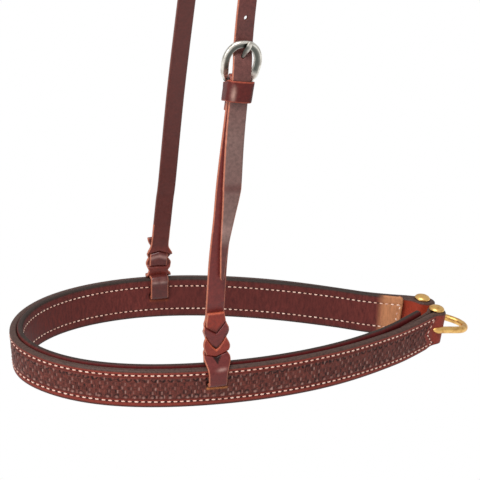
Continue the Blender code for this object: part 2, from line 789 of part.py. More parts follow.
def round_bar(base, axis, wide, long, depth, sides=16):
    """Points and faces of an oval prism round an axis."""
    axis = unit(axis)
    along = unit(np.array([0.0, 0.0, 1.0]) - axis * axis[2])
    across = np.cross(axis, along)
    points = []
    for reach in (-depth, depth):
        for k in range(sides):
            angle = 2 * math.pi * k / sides
            points.append(base + axis * reach + across * wide * math.cos(angle)
                          + along * long * math.sin(angle))
    faces = [tuple(range(sides)), tuple(range(sides, 2 * sides))]
    faces += [(k, (k + 1) % sides, sides + (k + 1) % sides, sides + k) for k in range(sides)]
    return points, faces


def hole_cutter(line):
    """Punched holes up the near leg and the worn one that the tongue passes through."""
    points, faces = [], []
    near = line[line[:, 1] < 0]
    order = near[np.argsort(near[:, 2])]
    along = tangents(order)
    base_height = heel(0.0, tongue_hole_height, 0.0)[2]
    for index in range(hole_count + 1):
        height = base_height + index * hole_spacing
        rows = order[:, 2]
        spot = np.array([np.interp(height, rows, order[:, k]) for k in range(3)])
        way = unit([np.interp(height, rows, along[:, k]) for k in range(3)])
        axis = np.cross(way, np.array([1.0, 0.0, 0.0]))
        wide, long = (tongue_hole_width / 2, tongue_hole_length / 2) if index == 0 \
            else (hole_radius, hole_radius)
        more, skins = round_bar(spot, axis, wide, long, cut_overrun)
        base = len(points)
        points += more
        faces += [tuple(base + k for k in f) for f in skins]
    return mesh_object("strap_holes", points, faces, smooth=False)


# buckle and keeper
def tilted(u, v, o):
    """Place on the buckle frame, which leans outward about the heel bar."""
    angle = math.radians(frame_tilt_degrees)
    return heel(u, v * math.cos(angle) - o * math.sin(angle),
                v * math.sin(angle) + o * math.cos(angle))


def buckle_frame():
    """Cast frame: round heel bar and a flat bevelled bow."""
    half = [(u * frame_half_width, v * frame_height) for u, v in frame_outline_shares]
    half = through(half, frame_height * 0.09)
    heel_half = [(u, 0.0) for u in np.linspace(0, heel_bar_reach * 0.86, 4)]
    right = heel_half + [tuple(p) for p in half]
    left = [(-u, v) for u, v in right[1:-1][::-1]]
    line = np.array(right + left)
    along = tangents(line, closed=True)
    section = ((-1.0, -0.55), (-1.0, 0.10), (-0.62, 0.55), (0.15, 1.0), (0.62, 0.85),
               (1.0, 0.25), (1.0, -0.45), (0.55, -1.0), (-0.55, -1.0))
    rings = []
    for (u, v), way in zip(line, along):
        side_out = np.array([way[1], -way[0]])
        grown = ease((v - heel_bar_radius * 0.2) / (frame_height * 0.20))
        wide = heel_bar_radius + (frame_face / 2 - heel_bar_radius) * grown
        thick = heel_bar_radius + (frame_thickness / 2 - heel_bar_radius) * grown
        ring = []
        for k, (a, b) in enumerate(section):
            angle = math.radians(200 - 360 * k / len(section))
            a = math.cos(angle) * (1 - grown) + a * grown
            b = math.sin(angle) * (1 - grown) + b * grown
            ring.append(tilted(u + side_out[0] * a * wide, v + side_out[1] * a * wide, b * thick))
        rings.append(ring)
    return loft("buckle_frame", rings, metal["nickel"], closed=True)


def buckle_tongue():
    """Tongue: curled round the heel bar, through the strap, resting on the bow."""
    line = through(tongue_line, tongue_thickness * 0.8)
    along = tangents(line)
    rings = []
    for i, ((o, v), (ao, av)) in enumerate(zip(line, along)):
        share = i / (len(line) - 1)
        slim = 1.0 if share < 0.93 else 0.72
        wide = tongue_width / 2 * slim
        thick = tongue_thickness / 2 * (1.0 if share < 0.9 else 0.75)
        ring = []
        for a, b in ((1, 0.45), (0.6, 1), (-0.6, 1), (-1, 0.45), (-1, -0.45), (-0.6, -1),
                     (0.6, -1), (1, -0.45)):
            ring.append(heel(a * wide, v - ao * b * thick, o + av * b * thick))
        rings.append(ring)
    return loft("buckle_tongue", rings, metal["nickel"], smooth=False)


def keeper_loop():
    """Loose leather loop round the billet and the folded cheek strap."""
    middle_drop = keeper_drop + heel_bar_radius + strap_thickness + keeper_width / 2
    passing = np.array([p[1:] for p in buckle_pass[::-1]])
    wall = strap_thickness / 2 + fit_gap

    def faces_at(b):
        drop = middle_drop - b * keeper_width
        return np.interp(-drop, passing[:, 0], passing[:, 1]) + wall, -fold_out(drop) - wall
    wide = keeper_inner_width / 2
    shift = billet_side[0] * 0.35
    corner = keeper_corner
    spots = []
    for side_u, side_o, start in ((1, 1, 0), (-1, 1, 90), (-1, -1, 180), (1, -1, 270)):
        for turn in (0, 30, 60, 90):
            angle = math.radians(start + turn)
            spots.append((side_u * (wide + keeper_thickness - corner), side_o,
                          math.cos(angle), math.sin(angle)))
    rings = []
    for u, side_o, nu, no in spots:
        ring = []
        for a, b in ((0.0, -0.42), (0.0, 0.42), (0.12, 0.5), (0.88, 0.5), (1.0, 0.42),
                     (1.0, -0.42), (0.88, -0.5), (0.12, -0.5)):
            front, back = faces_at(b)
            deep = (front - back) / 2 + keeper_thickness - corner
            reach = corner - a * keeper_thickness
            ring.append(heel(shift + u + nu * reach, -middle_drop + b * keeper_width,
                             (front + back) / 2 + side_o * deep + no * reach))
        rings.append(ring)
    return loft("keeper_loop", rings, leather["strap"], closed=True)


# pins and bow
def pin_frame(side):
    """Place in (radial angle, radius, height) round a pin's axis."""
    centre = band_place(0.0 if side < 0 else band_total, 0.0, 0.0)
    forward = np.array([math.cos(tab_tilt), 0.0, -math.sin(tab_tilt)])
    across = np.array([0.0, 1.0, 0.0])

    def frame(angle, radius, height):
        return (centre + forward * radius * math.cos(angle) + across * radius * math.sin(angle)
                + tab_up * (height - outer_drop))
    return frame


def turned(name, frame, profile, entry, sides=24):
    """Solid of revolution from a closed (radius, height) profile."""
    points, faces = [], []
    rows = []
    for radius, height in profile:
        if radius == 0:
            rows.append([len(points)] * sides)
            points.append(frame(0.0, 0.0, height))
            continue
        rows.append([len(points) + k for k in range(sides)])
        points += [frame(2 * math.pi * k / sides, radius, height) for k in range(sides)]
    for first, second in zip(rows, rows[1:] + rows[:1]):
        for k in range(sides):
            m = (k + 1) % sides
            corner = [first[k], first[m], second[m], second[k]]
            corner = [c for n, c in enumerate(corner) if c not in corner[:n]]
            if len(corner) > 2:
                faces.append(tuple(corner))
    return mesh_object(name, points, faces, entry)


def dome(base, sign, height):
    """Profile of a domed head from its rim to the crown."""
    rim = base + sign * dome_rim
    rows = [(dome_radius, base), (dome_radius, rim)]
    for turn in (25, 50, 70):
        angle = math.radians(turn)
        rows.append((dome_radius * math.cos(angle),
                     rim + sign * (height - dome_rim) * math.sin(angle)))
    return rows + [(0.0, base + sign * height)]


def pin(side, label):
    """Tubular post with a domed foot and the domed screw that closes it."""
    frame = pin_frame(side)
    edge = outer_height / 2 + fit_gap
    bore = screw_shank_radius + fit_gap
    bore_floor = edge - screw_shank_length - fit_gap
    foot = dome(-edge, -1, foot_height)[::-1]
    post = foot + [(pin_radius, -edge), (pin_radius, edge - fit_gap), (bore, edge - fit_gap),
                   (bore, bore_floor), (0.0, bore_floor)]
    turned(label + "_pin_post", frame, post, metal["brass"])
    head = [(0.0, edge - screw_shank_length), (screw_shank_radius, edge - screw_shank_length),
            (screw_shank_radius, edge)] + dome(edge, 1, dome_height)
    turned(label + "_pin_screw", frame, head, metal["brass"])


def bow_line(side_width):
    """Centre line of the bow in (forward, across), from the far eye to the near eye."""
    half = [(v * bow_reach, u * side_width) for u, v in bow_outline_shares]
    half = through(half, bow_wire_radius)
    return np.vstack([half, (half[:-1] * (1, -1))[::-1]])


def bow_bodies(name, wire, entry):
    """Bow and the ring eye round each pin; `wire` is the radius of their round section."""
    eye_radius = pin_radius + bow_eye_gap + bow_wire_radius
    frames = [pin_frame(1), pin_frame(-1)]
    eyes = [f(0.0, 0.0, bow_rise) for f in frames]
    middle = (eyes[0] + eyes[1]) / 2
    across = unit(eyes[0] - eyes[1])
    forward = unit(np.cross(across, tab_up))
    half_gap = np.linalg.norm(eyes[0] - eyes[1]) / 2

    def place(f, a, h=0.0):
        drop = math.tan(math.radians(bow_droop_degrees)) * max(0.0, f - bow_wire_radius)
        return middle + forward * f + across * a + tab_up * (h - drop)

    line = bow_line(half_gap + eye_radius)
    along = tangents(line)
    rings = []
    for (f, a), way in zip(line, along):
        side_way = np.array([way[1], -way[0]])
        rings.append([place(f + side_way[0] * wire * math.cos(t), a + side_way[1] * wire
                            * math.cos(t), wire * math.sin(t))
                      for t in np.linspace(0, 2 * math.pi, 12, endpoint=False)])
    bodies = [loft(name, rings, entry)]
    for index, sign in enumerate((1, -1)):
        rings = []
        for turn in np.linspace(0, 2 * math.pi, 28, endpoint=False):
            ring = []
            for t in np.linspace(0, 2 * math.pi, 12, endpoint=False):
                radius = eye_radius + wire * math.cos(t + 0.13)
                ring.append(place(radius * math.cos(turn + 0.05), sign * half_gap
                                  + radius * math.sin(turn + 0.05), wire * math.sin(t + 0.13)))
            rings.append(ring)
        bodies.append(loft(name + "_eye_" + str(index), rings, None, closed=True))
    return bodies


# assembly
outer = outer_band()
lining = lining_band()
for label, side in (("near_slot", -1), ("far_slot", 1)):
    cutter = slot_cutter(label, side)
    combine(outer, cutter, "DIFFERENCE")
    combine(lining, cutter, "DIFFERENCE")
crown_strap()
near_cheek_strap()
keeper_loop()
buckle_frame()
buckle_tongue()
pin(-1, "near")
pin(1, "far")
bow, *eyes = bow_bodies("tie_down_bow", bow_wire_radius, metal["brass"])
for eye in eyes:
    combine(bow, eye, "UNION")
for notch in bow_bodies("bow_notch", bow_wire_radius + bow_cut_gap, None):
    combine(outer, notch, "DIFFERENCE")
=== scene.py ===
"""Western tie-down noseband, dressed: tooled and stitched nose band, hangers, buckle and bow."""
import math

import bpy
import numpy as np
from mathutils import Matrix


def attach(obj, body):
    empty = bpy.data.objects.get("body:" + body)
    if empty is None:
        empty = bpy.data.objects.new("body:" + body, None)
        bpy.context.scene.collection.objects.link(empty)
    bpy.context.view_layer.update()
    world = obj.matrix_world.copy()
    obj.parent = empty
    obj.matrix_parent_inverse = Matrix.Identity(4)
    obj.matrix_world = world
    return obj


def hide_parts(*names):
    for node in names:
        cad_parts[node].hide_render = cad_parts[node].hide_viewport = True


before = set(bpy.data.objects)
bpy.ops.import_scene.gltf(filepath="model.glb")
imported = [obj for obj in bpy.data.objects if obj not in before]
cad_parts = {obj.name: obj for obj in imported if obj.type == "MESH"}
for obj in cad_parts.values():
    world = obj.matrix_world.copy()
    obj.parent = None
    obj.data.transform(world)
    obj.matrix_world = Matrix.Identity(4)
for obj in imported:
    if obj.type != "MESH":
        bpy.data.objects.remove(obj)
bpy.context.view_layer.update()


# The camera stands in front and to the left of the near side and looks down into the band.
# Its lens is long, so the two sides of the band draw at nearly the same scale.
look_azimuth, look_dip, look_roll = math.radians(17.15), math.radians(23.94), math.radians(0.52)
look_target, look_distance, look_scale = np.array([-0.00031, 0.01233, 0.05657]), 1.74234, 1.04
look_shift, picture_width, focal_pixels = np.array([0.003, 0.0, -0.489]), 480, 2616.39


def set_up(thing, across, upward, back, place):
    """Puts a camera or lamp at a place, with its back to the given direction."""
    pose = np.eye(4)
    pose[:3] = np.column_stack([across, upward, back, place])
    thing.matrix_world = pose.T.tolist()
    bpy.context.scene.collection.objects.link(thing)


ahead = np.array([math.sin(look_azimuth) * math.cos(look_dip),
                  math.cos(look_azimuth) * math.cos(look_dip), -math.sin(look_dip)])
level = np.array([math.cos(look_azimuth), -math.sin(look_azimuth), 0.0])
upright = np.cross(level, ahead)
lens = bpy.data.cameras.new("camera")
lens.sensor_width = 36.0
lens.lens = focal_pixels / picture_width * lens.sensor_width
lens.clip_end = 20.0
camera = bpy.data.objects.new("camera", lens)
set_up(camera, level * math.cos(look_roll) + upright * math.sin(look_roll),
       upright * math.cos(look_roll) - level * math.sin(look_roll), -ahead,
       (look_target - ahead * look_distance) * look_scale + look_shift)
bpy.context.scene.camera = camera


# The nose band hangs level under the hangers. Its middle line runs from the near screw post
# round the front of the nose to the far one. It sags a little, drops towards the bow and
# leans out at the sides, and its two ends tip with the screw posts that they are folded round.
crown_height, band_length, band_width = 0.489, 0.2958, 0.1448
nose_reach, band_sag, bow_end_drop = 0.1576, 0.0019, 0.0173
post_spacing, post_skew = 0.0198, 0.0034
end_tilt, end_tilt_run, end_level_run, end_lift = math.radians(9.0), 0.045, 0.022, 0.0020
near_plan = ((0.0, -0.010), (0.0, -0.124), (0.090, -0.397), (0.392, -0.515),
             (0.728, -0.420), (0.915, -0.176))
far_plan = ((0.0, -0.010), (0.0, 0.130), (0.083, 0.425), (0.377, 0.576),
            (0.701, 0.394), (0.912, 0.137))
lean_places = (0.0, 0.35, 0.70, 1.0)


def unit(vector):
    """Directions of length one, for one vector or a table of them."""
    vector = np.asarray(vector, float)
    return vector / np.linalg.norm(vector, axis=-1, keepdims=True)


def ease(value):
    """Smooth step from 0 to 1."""
    value = np.clip(value, 0.0, 1.0)
    return value * value * (3 - 2 * value)


def tangents(line, closed=False):
    """Unit directions along a line of points."""
    if closed:
        return unit(np.roll(line, -1, axis=0) - np.roll(line, 1, axis=0))
    return unit(np.gradient(line, axis=0))


def run_along(line):
    """Distance along a line of points, from its start to each of them."""
    return np.concatenate([[0], np.cumsum(np.linalg.norm(np.diff(line, axis=0), axis=1))])


def read_table(wanted, places, table):
    """Rows of a table at wanted places, straight between its own rows."""
    return np.stack([np.interp(wanted, places, column) for column in table.T], axis=-1)


def clamped_spline(points, shares):
    """Cubic B-spline that starts at the first and ends at the last control point."""
    points = np.asarray(points, float)
    count = len(points)
    knots = np.concatenate([[0] * 3, np.linspace(0, 1, count - 2), [1] * 3])
    rows = []
    for share in np.clip(shares, 0, 1 - 1e-9):
        basis = [1.0 if knots[i] <= share < knots[i + 1] else 0.0 for i in range(len(knots) - 1)]
        for degree in (1, 2, 3):
            for i in range(len(knots) - 1 - degree):
                low, high = knots[i + degree] - knots[i], knots[i + degree + 1] - knots[i + 1]
                left = (share - knots[i]) / low * basis[i] if low > 0 else 0.0
                more = (knots[i + degree + 1] - share) / high * basis[i + 1] if high > 0 else 0.0
                basis[i] = left + more
        rows.append(np.dot(basis[:count], points))
    return np.array(rows)


def half_line(plan_shares, side, lean):
    """Middle line and up direction of one half, from the nose to its screw post."""
    plan = [(x * band_length - nose_reach, y * band_width) for x, y in plan_shares]
    plan.append((band_length - nose_reach - side * post_skew / 2, side * post_spacing / 2))
    share = np.linspace(0, 1, 260)
    plan = clamped_spline(plan, share)
    along = tangents(plan)
    outward = np.stack([-along[:, 1], along[:, 0]], axis=1) * side
    height = -crown_height - band_sag * 4 * share * (1 - share) - bow_end_drop * share ** 2
    lean = np.radians(np.interp(share, lean_places, lean))
    up = np.column_stack([outward * np.sin(lean)[:, None], np.cos(lean)])
    return np.column_stack([plan, height]), up


near_half, near_up = half_line(near_plan, -1, (3.85, 1.2, 1.2, 4.1))
far_half, far_up = half_line(far_plan, 1, (3.85, 1.0, 1.6, 4.9))
band_line = np.vstack([near_half[::-1], far_half[1:]])
band_up = np.vstack([near_up[::-1], far_up[1:]])
band_run = run_along(band_line[:, :2])
band_total = band_run[-1]
end_up = np.array([math.sin(end_tilt), 0.0, math.cos(end_tilt)])
from_end = np.minimum(band_run, band_total - band_run)
end_blend = ease(1 - from_end / end_tilt_run)[:, None]
band_up = unit(band_up * (1 - end_blend) + end_up * end_blend)
band_along = tangents(band_line[:, :2])
band_line[:, 2] += end_lift * end_blend[:, 0]
level_share = np.clip(1 - from_end / end_level_run, 0, 1) ** 2
for end, inner, half in ((0, 6, band_run <= band_total / 2), (-1, -7, band_run > band_total / 2)):
    reach = abs(band_run[inner] - band_run[end])
    wanted = math.tan(end_tilt) * (band_line[end, 0] - band_line[inner, 0]) / reach
    slope = wanted - (band_line[inner, 2] - band_line[end, 2]) / reach
    band_line[:, 2] += slope * from_end * level_share * half


def band_frame(run):
    """Middle, outward and up directions at runs along the band."""
    run = np.atleast_1d(np.asarray(run, float))
    spot, up = (read_table(run, band_run, table) for table in (band_line, band_up))
    along = unit(read_table(run, band_run, band_along))
    outward = np.column_stack([-along[:, 1], along[:, 0], np.zeros(len(run))])
    outward = unit(outward - up * np.sum(outward * up, axis=1)[:, None])
    return spot, outward, up


def band_place(run, out, rise):
    """World places at runs, outward offsets and heights on the band."""
    spot, outward, up = band_frame(run)
    return spot + outward * np.reshape(out, (-1, 1)) + up * np.reshape(rise, (-1, 1))


# The outer strap is heavy harness leather, dyed burgundy and darkened in the stamping. It is
# folded round both screw posts, with its skived tails sewn in behind. A basket stamp fills the
# field between two cut border lines, and a scalloped stamp runs along both of them.
outer_height, outer_drop, outer_thickness, outer_round = 0.0268, 0.0006, 0.0049, 0.0016
lining_height, lining_thickness, lining_round = 0.0300, 0.0041, 0.0015
fit_gap, lining_setback, tail_length = 0.0003, 0.0125, 0.036
fold_thickness, fold_pocket, skive_length, pocket_length = 0.0046, 0.0024, 0.016, 0.0070
tail_thick, tail_thin, tail_cover = 0.0024, 0.0009, 1.6
stitch_rise, border_rise, field_rise = 0.0098, 0.0081, 0.0074
stitch_pitch, stitch_length, stitch_half_width = 0.00425, 0.0028, 0.00054
face_lift, lift_blend, corner_lift, corner_run, far_slack = 0.0010, 0.0040, 0.0026, 0.0110, 0.0026
fold_seam_top, fold_seam_low, fold_seam_point = 0.0065, 0.0045, 0.0128
stamp_length, stamp_rows, column_step = 0.0057, 5, 0.00056
bar_depth, side_depth, strand_depth, weft_depth, ridge_height = (0.00056, 0.00022, 0.00018,
                                                                 0.00030, 0.00030)
line_depth, groove_depth, scallop_depth, pad_height = 0.00036, 0.00028, 0.00052, 0.00030
scallop_radius, scallop_width, scallop_inset = 0.0017, 0.00038, 0.0013
awl_radius, awl_depth, slot_depth = 0.00062, 0.0004, 0.0012
slot_half_length, slot_half_height, slot_lip_drop = 0.0068, 0.0019, 0.0031
hanger_from_nose, hanger_clearance = 0.1177, 0.0070
slot_rise = {-1: 0.0019, 1: 0.0011}


def pocket_face(run):
    """Distance of a layer's inner face from the middle line near the post."""
    return fold_pocket + (fit_gap / 2 - fold_pocket) * ease(run / pocket_length)


def outer_offset(run):
    """Middle and thickness of the outer strap at a distance from the post."""
    thickness = fold_thickness + (outer_thickness - fold_thickness) * ease(run / skive_length)
    return pocket_face(run) + thickness / 2, thickness


def tail_offset(run):
    """Middle and thickness of the folded-back tail at a distance from the post."""
    taper = np.clip((run - lining_setback) / (tail_length - lining_setback), 0, 1)
    thin = tail_thick + (tail_thin - tail_thick) * taper
    thickness = fold_thickness + (thin - fold_thickness) * ease(run / lining_setback)
    return -(pocket_face(run) + thickness / 2), thickness


def lining_offset(run):
    """Middle of the lining, which steps inward over the folded-back tail."""
    stretch = tail_length * tail_cover
    taper = np.clip((run - lining_setback) / (stretch - lining_setback), 0, 1)
    return -(fit_gap / 2 + (tail_thick + fit_gap) * (1 - taper) + lining_thickness / 2)


def pick(piece):
    """Makes a piece the only one that is selected, and the active one."""
    bpy.ops.object.select_all(action="DESELECT")
    bpy.context.view_layer.objects.active = piece
    piece.select_set(True)


def face_outward(piece):
    """Turns all faces of a piece outward and shades it smooth."""
    pick(piece)
    bpy.ops.object.mode_set(mode="EDIT")
    bpy.ops.mesh.select_all(action="SELECT")
    bpy.ops.mesh.normals_make_consistent(inside=False)
    bpy.ops.object.mode_set(mode="OBJECT")
    bpy.ops.object.shade_smooth()
    return piece


def new_piece(name, points, faces, masks=None):
    """Smooth closed mesh with named masks on its points."""
    mesh = bpy.data.meshes.new(name)
    mesh.from_pydata(np.asarray(points, float).tolist(), [], faces)
    for label, values in (masks or {}).items():
        layer = mesh.attributes.new(label, "FLOAT", "POINT")
        layer.data.foreach_set("value", np.asarray(values, np.float32).ravel())
    piece = bpy.data.objects.new(name, mesh)
    bpy.context.scene.collection.objects.link(piece)
    return face_outward(piece)


def skin_faces(count, size, closed=False):
    """Faces of a skin over rings of equal point count, with both ends filled."""
    faces = []
    for i in range(count if closed else count - 1):
        here, after = i * size, (i + 1) % count * size
        for j in range(size):
            k = (j + 1) % size
            faces.append((here + j, here + k, after + k, after + j))
    if not closed:
        faces += [tuple(range(size)), tuple((count - 1) * size + j for j in range(size))]
    return faces


def strip_section(height, edge_round, face_rows, back_rows):
    """Outline of a strip as shares: outward share, corner cosine, rise, corner sine, face flag."""
    level = height / 2 - edge_round

    def corner(out_side, rise_side, turns):
        return [(out_side, math.cos(turn), rise_side * level, math.sin(turn), 0)
                for turn in np.radians(turns)]
    rows = [(1, 1, rise, 0, 1) for rise in face_rows]
    rows += corner(1, -1, (-22.5, -45, -67.5, -90)) + corner(-1, -1, (-90, -112.5, -135, -157.5))
    rows += [(-1, -1, rise, 0, 0) for rise in back_rows]
    rows += corner(-1, 1, (157.5, 135, 112.5, 90)) + corner(1, 1, (90, 67.5, 45, 22.5))
    return np.array(rows, float)


def strip_grid(section, thickness, edge_round):
    """Outward offset and rise of each point of a strip whose thickness changes."""
    rounding = np.minimum(edge_round, thickness * 0.48)[:, None]
    out_share, cosine, rise, sine, _ = section.T
    out = out_share * (thickness[:, None] / 2 - rounding) + cosine * rounding
    return out, np.broadcast_to(rise, out.shape) + sine * rounding


def strip_piece(name, origin, grain, up, out, rise, masks):
    """Strip whose points stand out and rise from the origins of its sections."""
    spots = origin[:, None] + grain[:, None] * out[..., None] + up[:, None] * rise[..., None]
    return new_piece(name, spots.reshape(-1, 3), skin_faces(*out.shape),
                     {label: np.broadcast_to(mask, out.shape) for label, mask in masks.items()})


def pulse(value, width):
    """Soft bump of height one."""
    return np.exp(-(value / width) ** 2)


def lift_at(run):
    """How far the grain face sits above the middle, less near the folds."""
    inset = np.minimum(run, band_total - run)
    return face_lift * ease((inset - 0.020) / 0.100)


def scatter(cell, row):
    """Uneven hand of a stamp: a share from 0 to 1 that changes from blow to blow."""
    return (np.sin(cell * 12.9898 + row * 78.233) * 43758.5453) % 1.0


def basket_relief(run, rise):
    """Depth of the basket stamp, and its high spots, which get a painted highlight."""
    cell = 2 * field_rise / stamp_rows
    lifted = (rise + 0.0003 * np.sin(run * 140.0) + field_rise) / cell
    row = np.floor(lifted)
    across = lifted - row - 0.5
    shift = run / stamp_length + 0.5 * (row % 2) + 0.13 * np.sin(run * 190.0 + row * 2.0)
    blow = np.floor(shift)
    down = shift - blow - 0.5
    uneven = 0.25 + 0.75 * scatter(blow, row)
    inside = 1 - ease((np.abs(across) - 0.30) / 0.16)
    bars = pulse(np.abs(down) - 0.42, 0.065) * inside
    sides = pulse(np.abs(across) - 0.48, 0.10)
    strands = pulse(np.abs(across) - 0.16, 0.08) * (np.abs(down) < 0.30)
    ridge = pulse(down - 0.24, 0.060) * inside
    wefts = pulse(np.abs(down + 0.05) - 0.13, 0.045) * inside * (scatter(blow + 9.0, row) > 0.4)
    relief = (ridge_height * ridge - bar_depth * bars - side_depth * sides
              - strand_depth * strands - weft_depth * wefts)
    return relief * uneven, ridge * scatter(blow + 5.0, row) ** 1.5


def border_relief(run, rise):
    """Depth of the cut lines, the scallops along them and the stitching groove, and the pad inside
    each scallop, which gets a painted highlight.
    """
    edge = np.abs(rise)
    lines = (line_depth * pulse(edge - border_rise, 0.00032)
             + groove_depth * pulse(edge - stitch_rise, 0.00060))
    step = np.where(rise > 0, 0.0055, 0.0058)
    blow = np.floor(run / step)
    place = run / step - blow - 0.5
    from_pad = np.hypot(place * step, (border_rise - scallop_inset - edge) * 1.05)
    near = (edge < border_rise - 0.0003) * (edge > border_rise - 0.0036)
    open_side = ease((border_rise - 0.0008 - edge) / 0.0006)
    scallop = pulse(from_pad - scallop_radius, scallop_width) * near * open_side
    scallop = scallop * np.where(rise > 0, 0.55 + 0.45 * scatter(blow, 1.0), 0.5)
    pad = pulse(from_pad, 0.00080) * near * np.where(rise > 0, 0.15, 1.0)
    relief = pad_height * pad - scallop_depth * scallop - lines
    return relief, pad * (0.5 + 0.5 * scatter(blow, 3.0))


def places_along(path, shares):
    """Places of (run, rise) at shares of the length of a path."""
    path = np.array(path, float)
    length = run_along(path)
    return read_table(np.asarray(shares) * length[-1], length, path)


def stitch_count(path, pitch=stitch_pitch):
    """Number of stitches on a path."""
    return max(1, int(round(run_along(np.array(path, float))[-1] / pitch)))


def hanger_run(side):
    """Run along the band at which a hanger is threaded through."""
    wanted = hanger_from_nose - nose_reach
    rows = np.where(band_line[:, 1] * side > 0)[0]
    return band_run[rows[np.argmin(np.abs(band_line[rows, 0] - wanted))]]


def slot_masks(run, rise):
    """Where the hanger straps go through the band, and the cut lower lip of each slot."""
    slots, lips = (np.zeros(np.broadcast(run, rise).shape) for _ in range(2))
    for side in (-1, 1):
        away, above = np.abs(run - hanger_run(side)), rise - slot_rise[side]
        wide = 1 - ease((away - slot_half_length) / 0.0006)
        slots = np.maximum(slots, wide * (1 - ease((np.abs(above) - slot_half_height) / 0.0006)))
        lip = pulse(above + slot_lip_drop, 0.0008)
        lips = np.maximum(lips, lip * (1 - ease((away - slot_half_length - 0.0002) / 0.0005)))
    return slots, lips


def clear_of_hanger(row):
    """Splits a long row where a hanger strap covers the thread."""
    parts = [row]
    for side in (-1, 1):
        left, right = (hanger_run(side) + way * hanger_clearance for way in (-1, 1))
        split = []
        for a, b in parts:
            covered = a[0] < left and b[0] > right
            split += [(a, (left, a[1])), ((right, b[1]), b)] if covered else [(a, b)]
        parts = split
    return parts


def seam(rise, top_end, low_end, point):
    """Paths of one stitched outline: an upper and a lower row, joined by a point at each end."""
    paths = clear_of_hanger(((top_end, rise), (band_total - top_end, rise)))
    paths.append(((low_end, -rise), (band_total - low_end, -rise)))
    for post_run, heading in ((0.0, 1), (band_total, -1)):
        paths.append(((post_run + heading * top_end, rise), (post_run + heading * point, 0.0)))
        paths.append(((post_run + heading * low_end, -rise), (post_run + heading * point, 0.0)))
    return paths


def awl_marks(run, rise, paths, pitch=stitch_pitch):
    """Holes at both ends of each stitch of a seam."""
    marks = np.zeros(run.shape)
    for path in paths:
        for place, height in places_along(path, np.linspace(0, 1, stitch_count(path, pitch) + 1)):
            rows = np.abs(run[:, 0] - place) < 0.003
            marks[rows] = np.maximum(marks[rows], pulse(run[rows] - place, awl_radius)
                                     * pulse(rise[rows] - height, awl_radius))
    return marks


outer_seam = seam(stitch_rise, fold_seam_top, fold_seam_low, fold_seam_point)


def outer_columns():
    """Columns of the outer strap in order: origin, grain side, up, middle, thickness, run."""
    columns = []
    fold_run = (fold_pocket + fold_thickness / 2) * math.pi / 2
    for post_run, heading in ((0.0, 1), (band_total, -1)):
        block = []
        for run in (*np.linspace(tail_length, 0.012, 12), *np.linspace(0.012, 0.0, 14)[1:-1]):
            spot, outward, up = (v[0] for v in band_frame(post_run + heading * run))
            middle, thickness = tail_offset(run)
            block.append((spot, -outward, up, -middle, thickness, -fold_run - run))
        centre = band_frame(post_run)[0][0]
        along = unit(band_frame(post_run + heading * fold_pocket)[0][0] - centre)
        forward = unit(end_up * np.dot(along, end_up) - along)
        outward = band_frame(post_run)[1][0]
        slack = far_slack if heading < 0 else 0.0
        for turn in np.linspace(-90, 90, 25):
            sine, cosine = math.sin(math.radians(turn)), math.cos(math.radians(turn))
            block.append((centre + forward * slack * cosine ** 0.8,
                          outward * sine + forward * cosine, end_up,
                          fold_pocket + fold_thickness / 2, fold_thickness,
                          (turn / 90 - 1) * fold_run))
        if heading == 1:
            columns += block
            even = np.linspace(0, band_total, int(band_total / column_step))[1:-1]
            spots, outs, ups = band_frame(even)
            for run, spot, outward, up in zip(even, spots, outs, ups):
                middle, thickness = outer_offset(min(run, band_total - run))
                columns.append((spot, outward, up, middle, thickness, run))
        else:
            columns += [(*row[:5], band_total - row[5]) for row in block[::-1]]
    return [np.array(part) for part in zip(*columns)]


def tooled_band():
    """Outer strap with its stamping in the mesh."""
    origin, grain, up, middle, thickness, run = outer_columns()
    rows = [*np.linspace(0.0118, 0.0084, 9), 0.0080, *np.linspace(0.0076, -0.0076, 35), -0.0080,
            *np.linspace(-0.0084, -0.0118, 9)]
    section = strip_section(outer_height, outer_round, rows, (-0.009, 0.0, 0.009))
    out, rise = strip_grid(section, thickness, outer_round)
    out_share, _, level, _, face = section.T
    far_run = run[:, None] + np.zeros_like(out)
    inset = np.minimum(far_run, band_total - far_run)
    held = ease((inset - 0.0152 + 0.0064 * np.abs(rise) / stitch_rise) / 0.0012)
    field = held * (1 - ease((np.abs(rise) - field_rise) / 0.0004))
    weave, high = basket_relief(far_run, rise)
    cut, pads = border_relief(far_run, rise)
    started = ease((inset - 0.010) / 0.002)
    holes = awl_marks(far_run, rise, outer_seam) * face
    slot, lip = (mask * face for mask in slot_masks(far_run, rise))
    relief = (weave * field + cut * started - awl_depth * holes) * face
    relief = relief * (1 - slot) - slot_depth * slot
    height = rise - outer_drop + lift_at(far_run) * ease((rise + outer_height / 2) / lift_blend)
    height = height + (corner_lift * ease(1 - np.abs(inset) / corner_run) * (inset > -0.02)
                       * np.clip((-rise - 0.0060) / 0.0070, 0, 1))
    edge = np.clip((rise - 0.0114) / 0.0010, 0, 1) + (1 - face) * (level > 0.010)
    # Painted shade: the lower edge of the strap is painted dark, as the shade under its rounded
    # edge.
    underside_shade = np.clip((-rise - 0.0115) / 0.0008, 0, 1) + (1 - face) * (level < -0.010)
    # Painted highlight: the raised spots of the basket stamp and the scallop pads are painted
    # pale.
    painted_shine = np.clip(high * field + pads * started * held, 0, 1)
    bent = ease((0.002 - far_run) / 0.012) + ease((far_run - band_total + 0.002) / 0.012)
    # The awl holes and the hanger slots are painted near black: painted shade inside them.
    masks = {"field": field * face, "depth": np.clip(-relief / 0.00042, 0, 1) * (1 - holes),
             "crest_highlight": painted_shine * face, "edge": np.clip(edge, 0, 1), "underside_shade": np.clip(underside_shade, 0, 1),
             "hole_shade": np.clip(holes * 1.4, 0, 1), "slit": slot, "lip": lip, "fold": bent,
             "back": (out_share < 0) * (np.abs(level) < 0.0115) * 1.0}
    return strip_piece("outer_strap", origin, grain, up, middle[:, None] + out + relief, height,
                       masks)


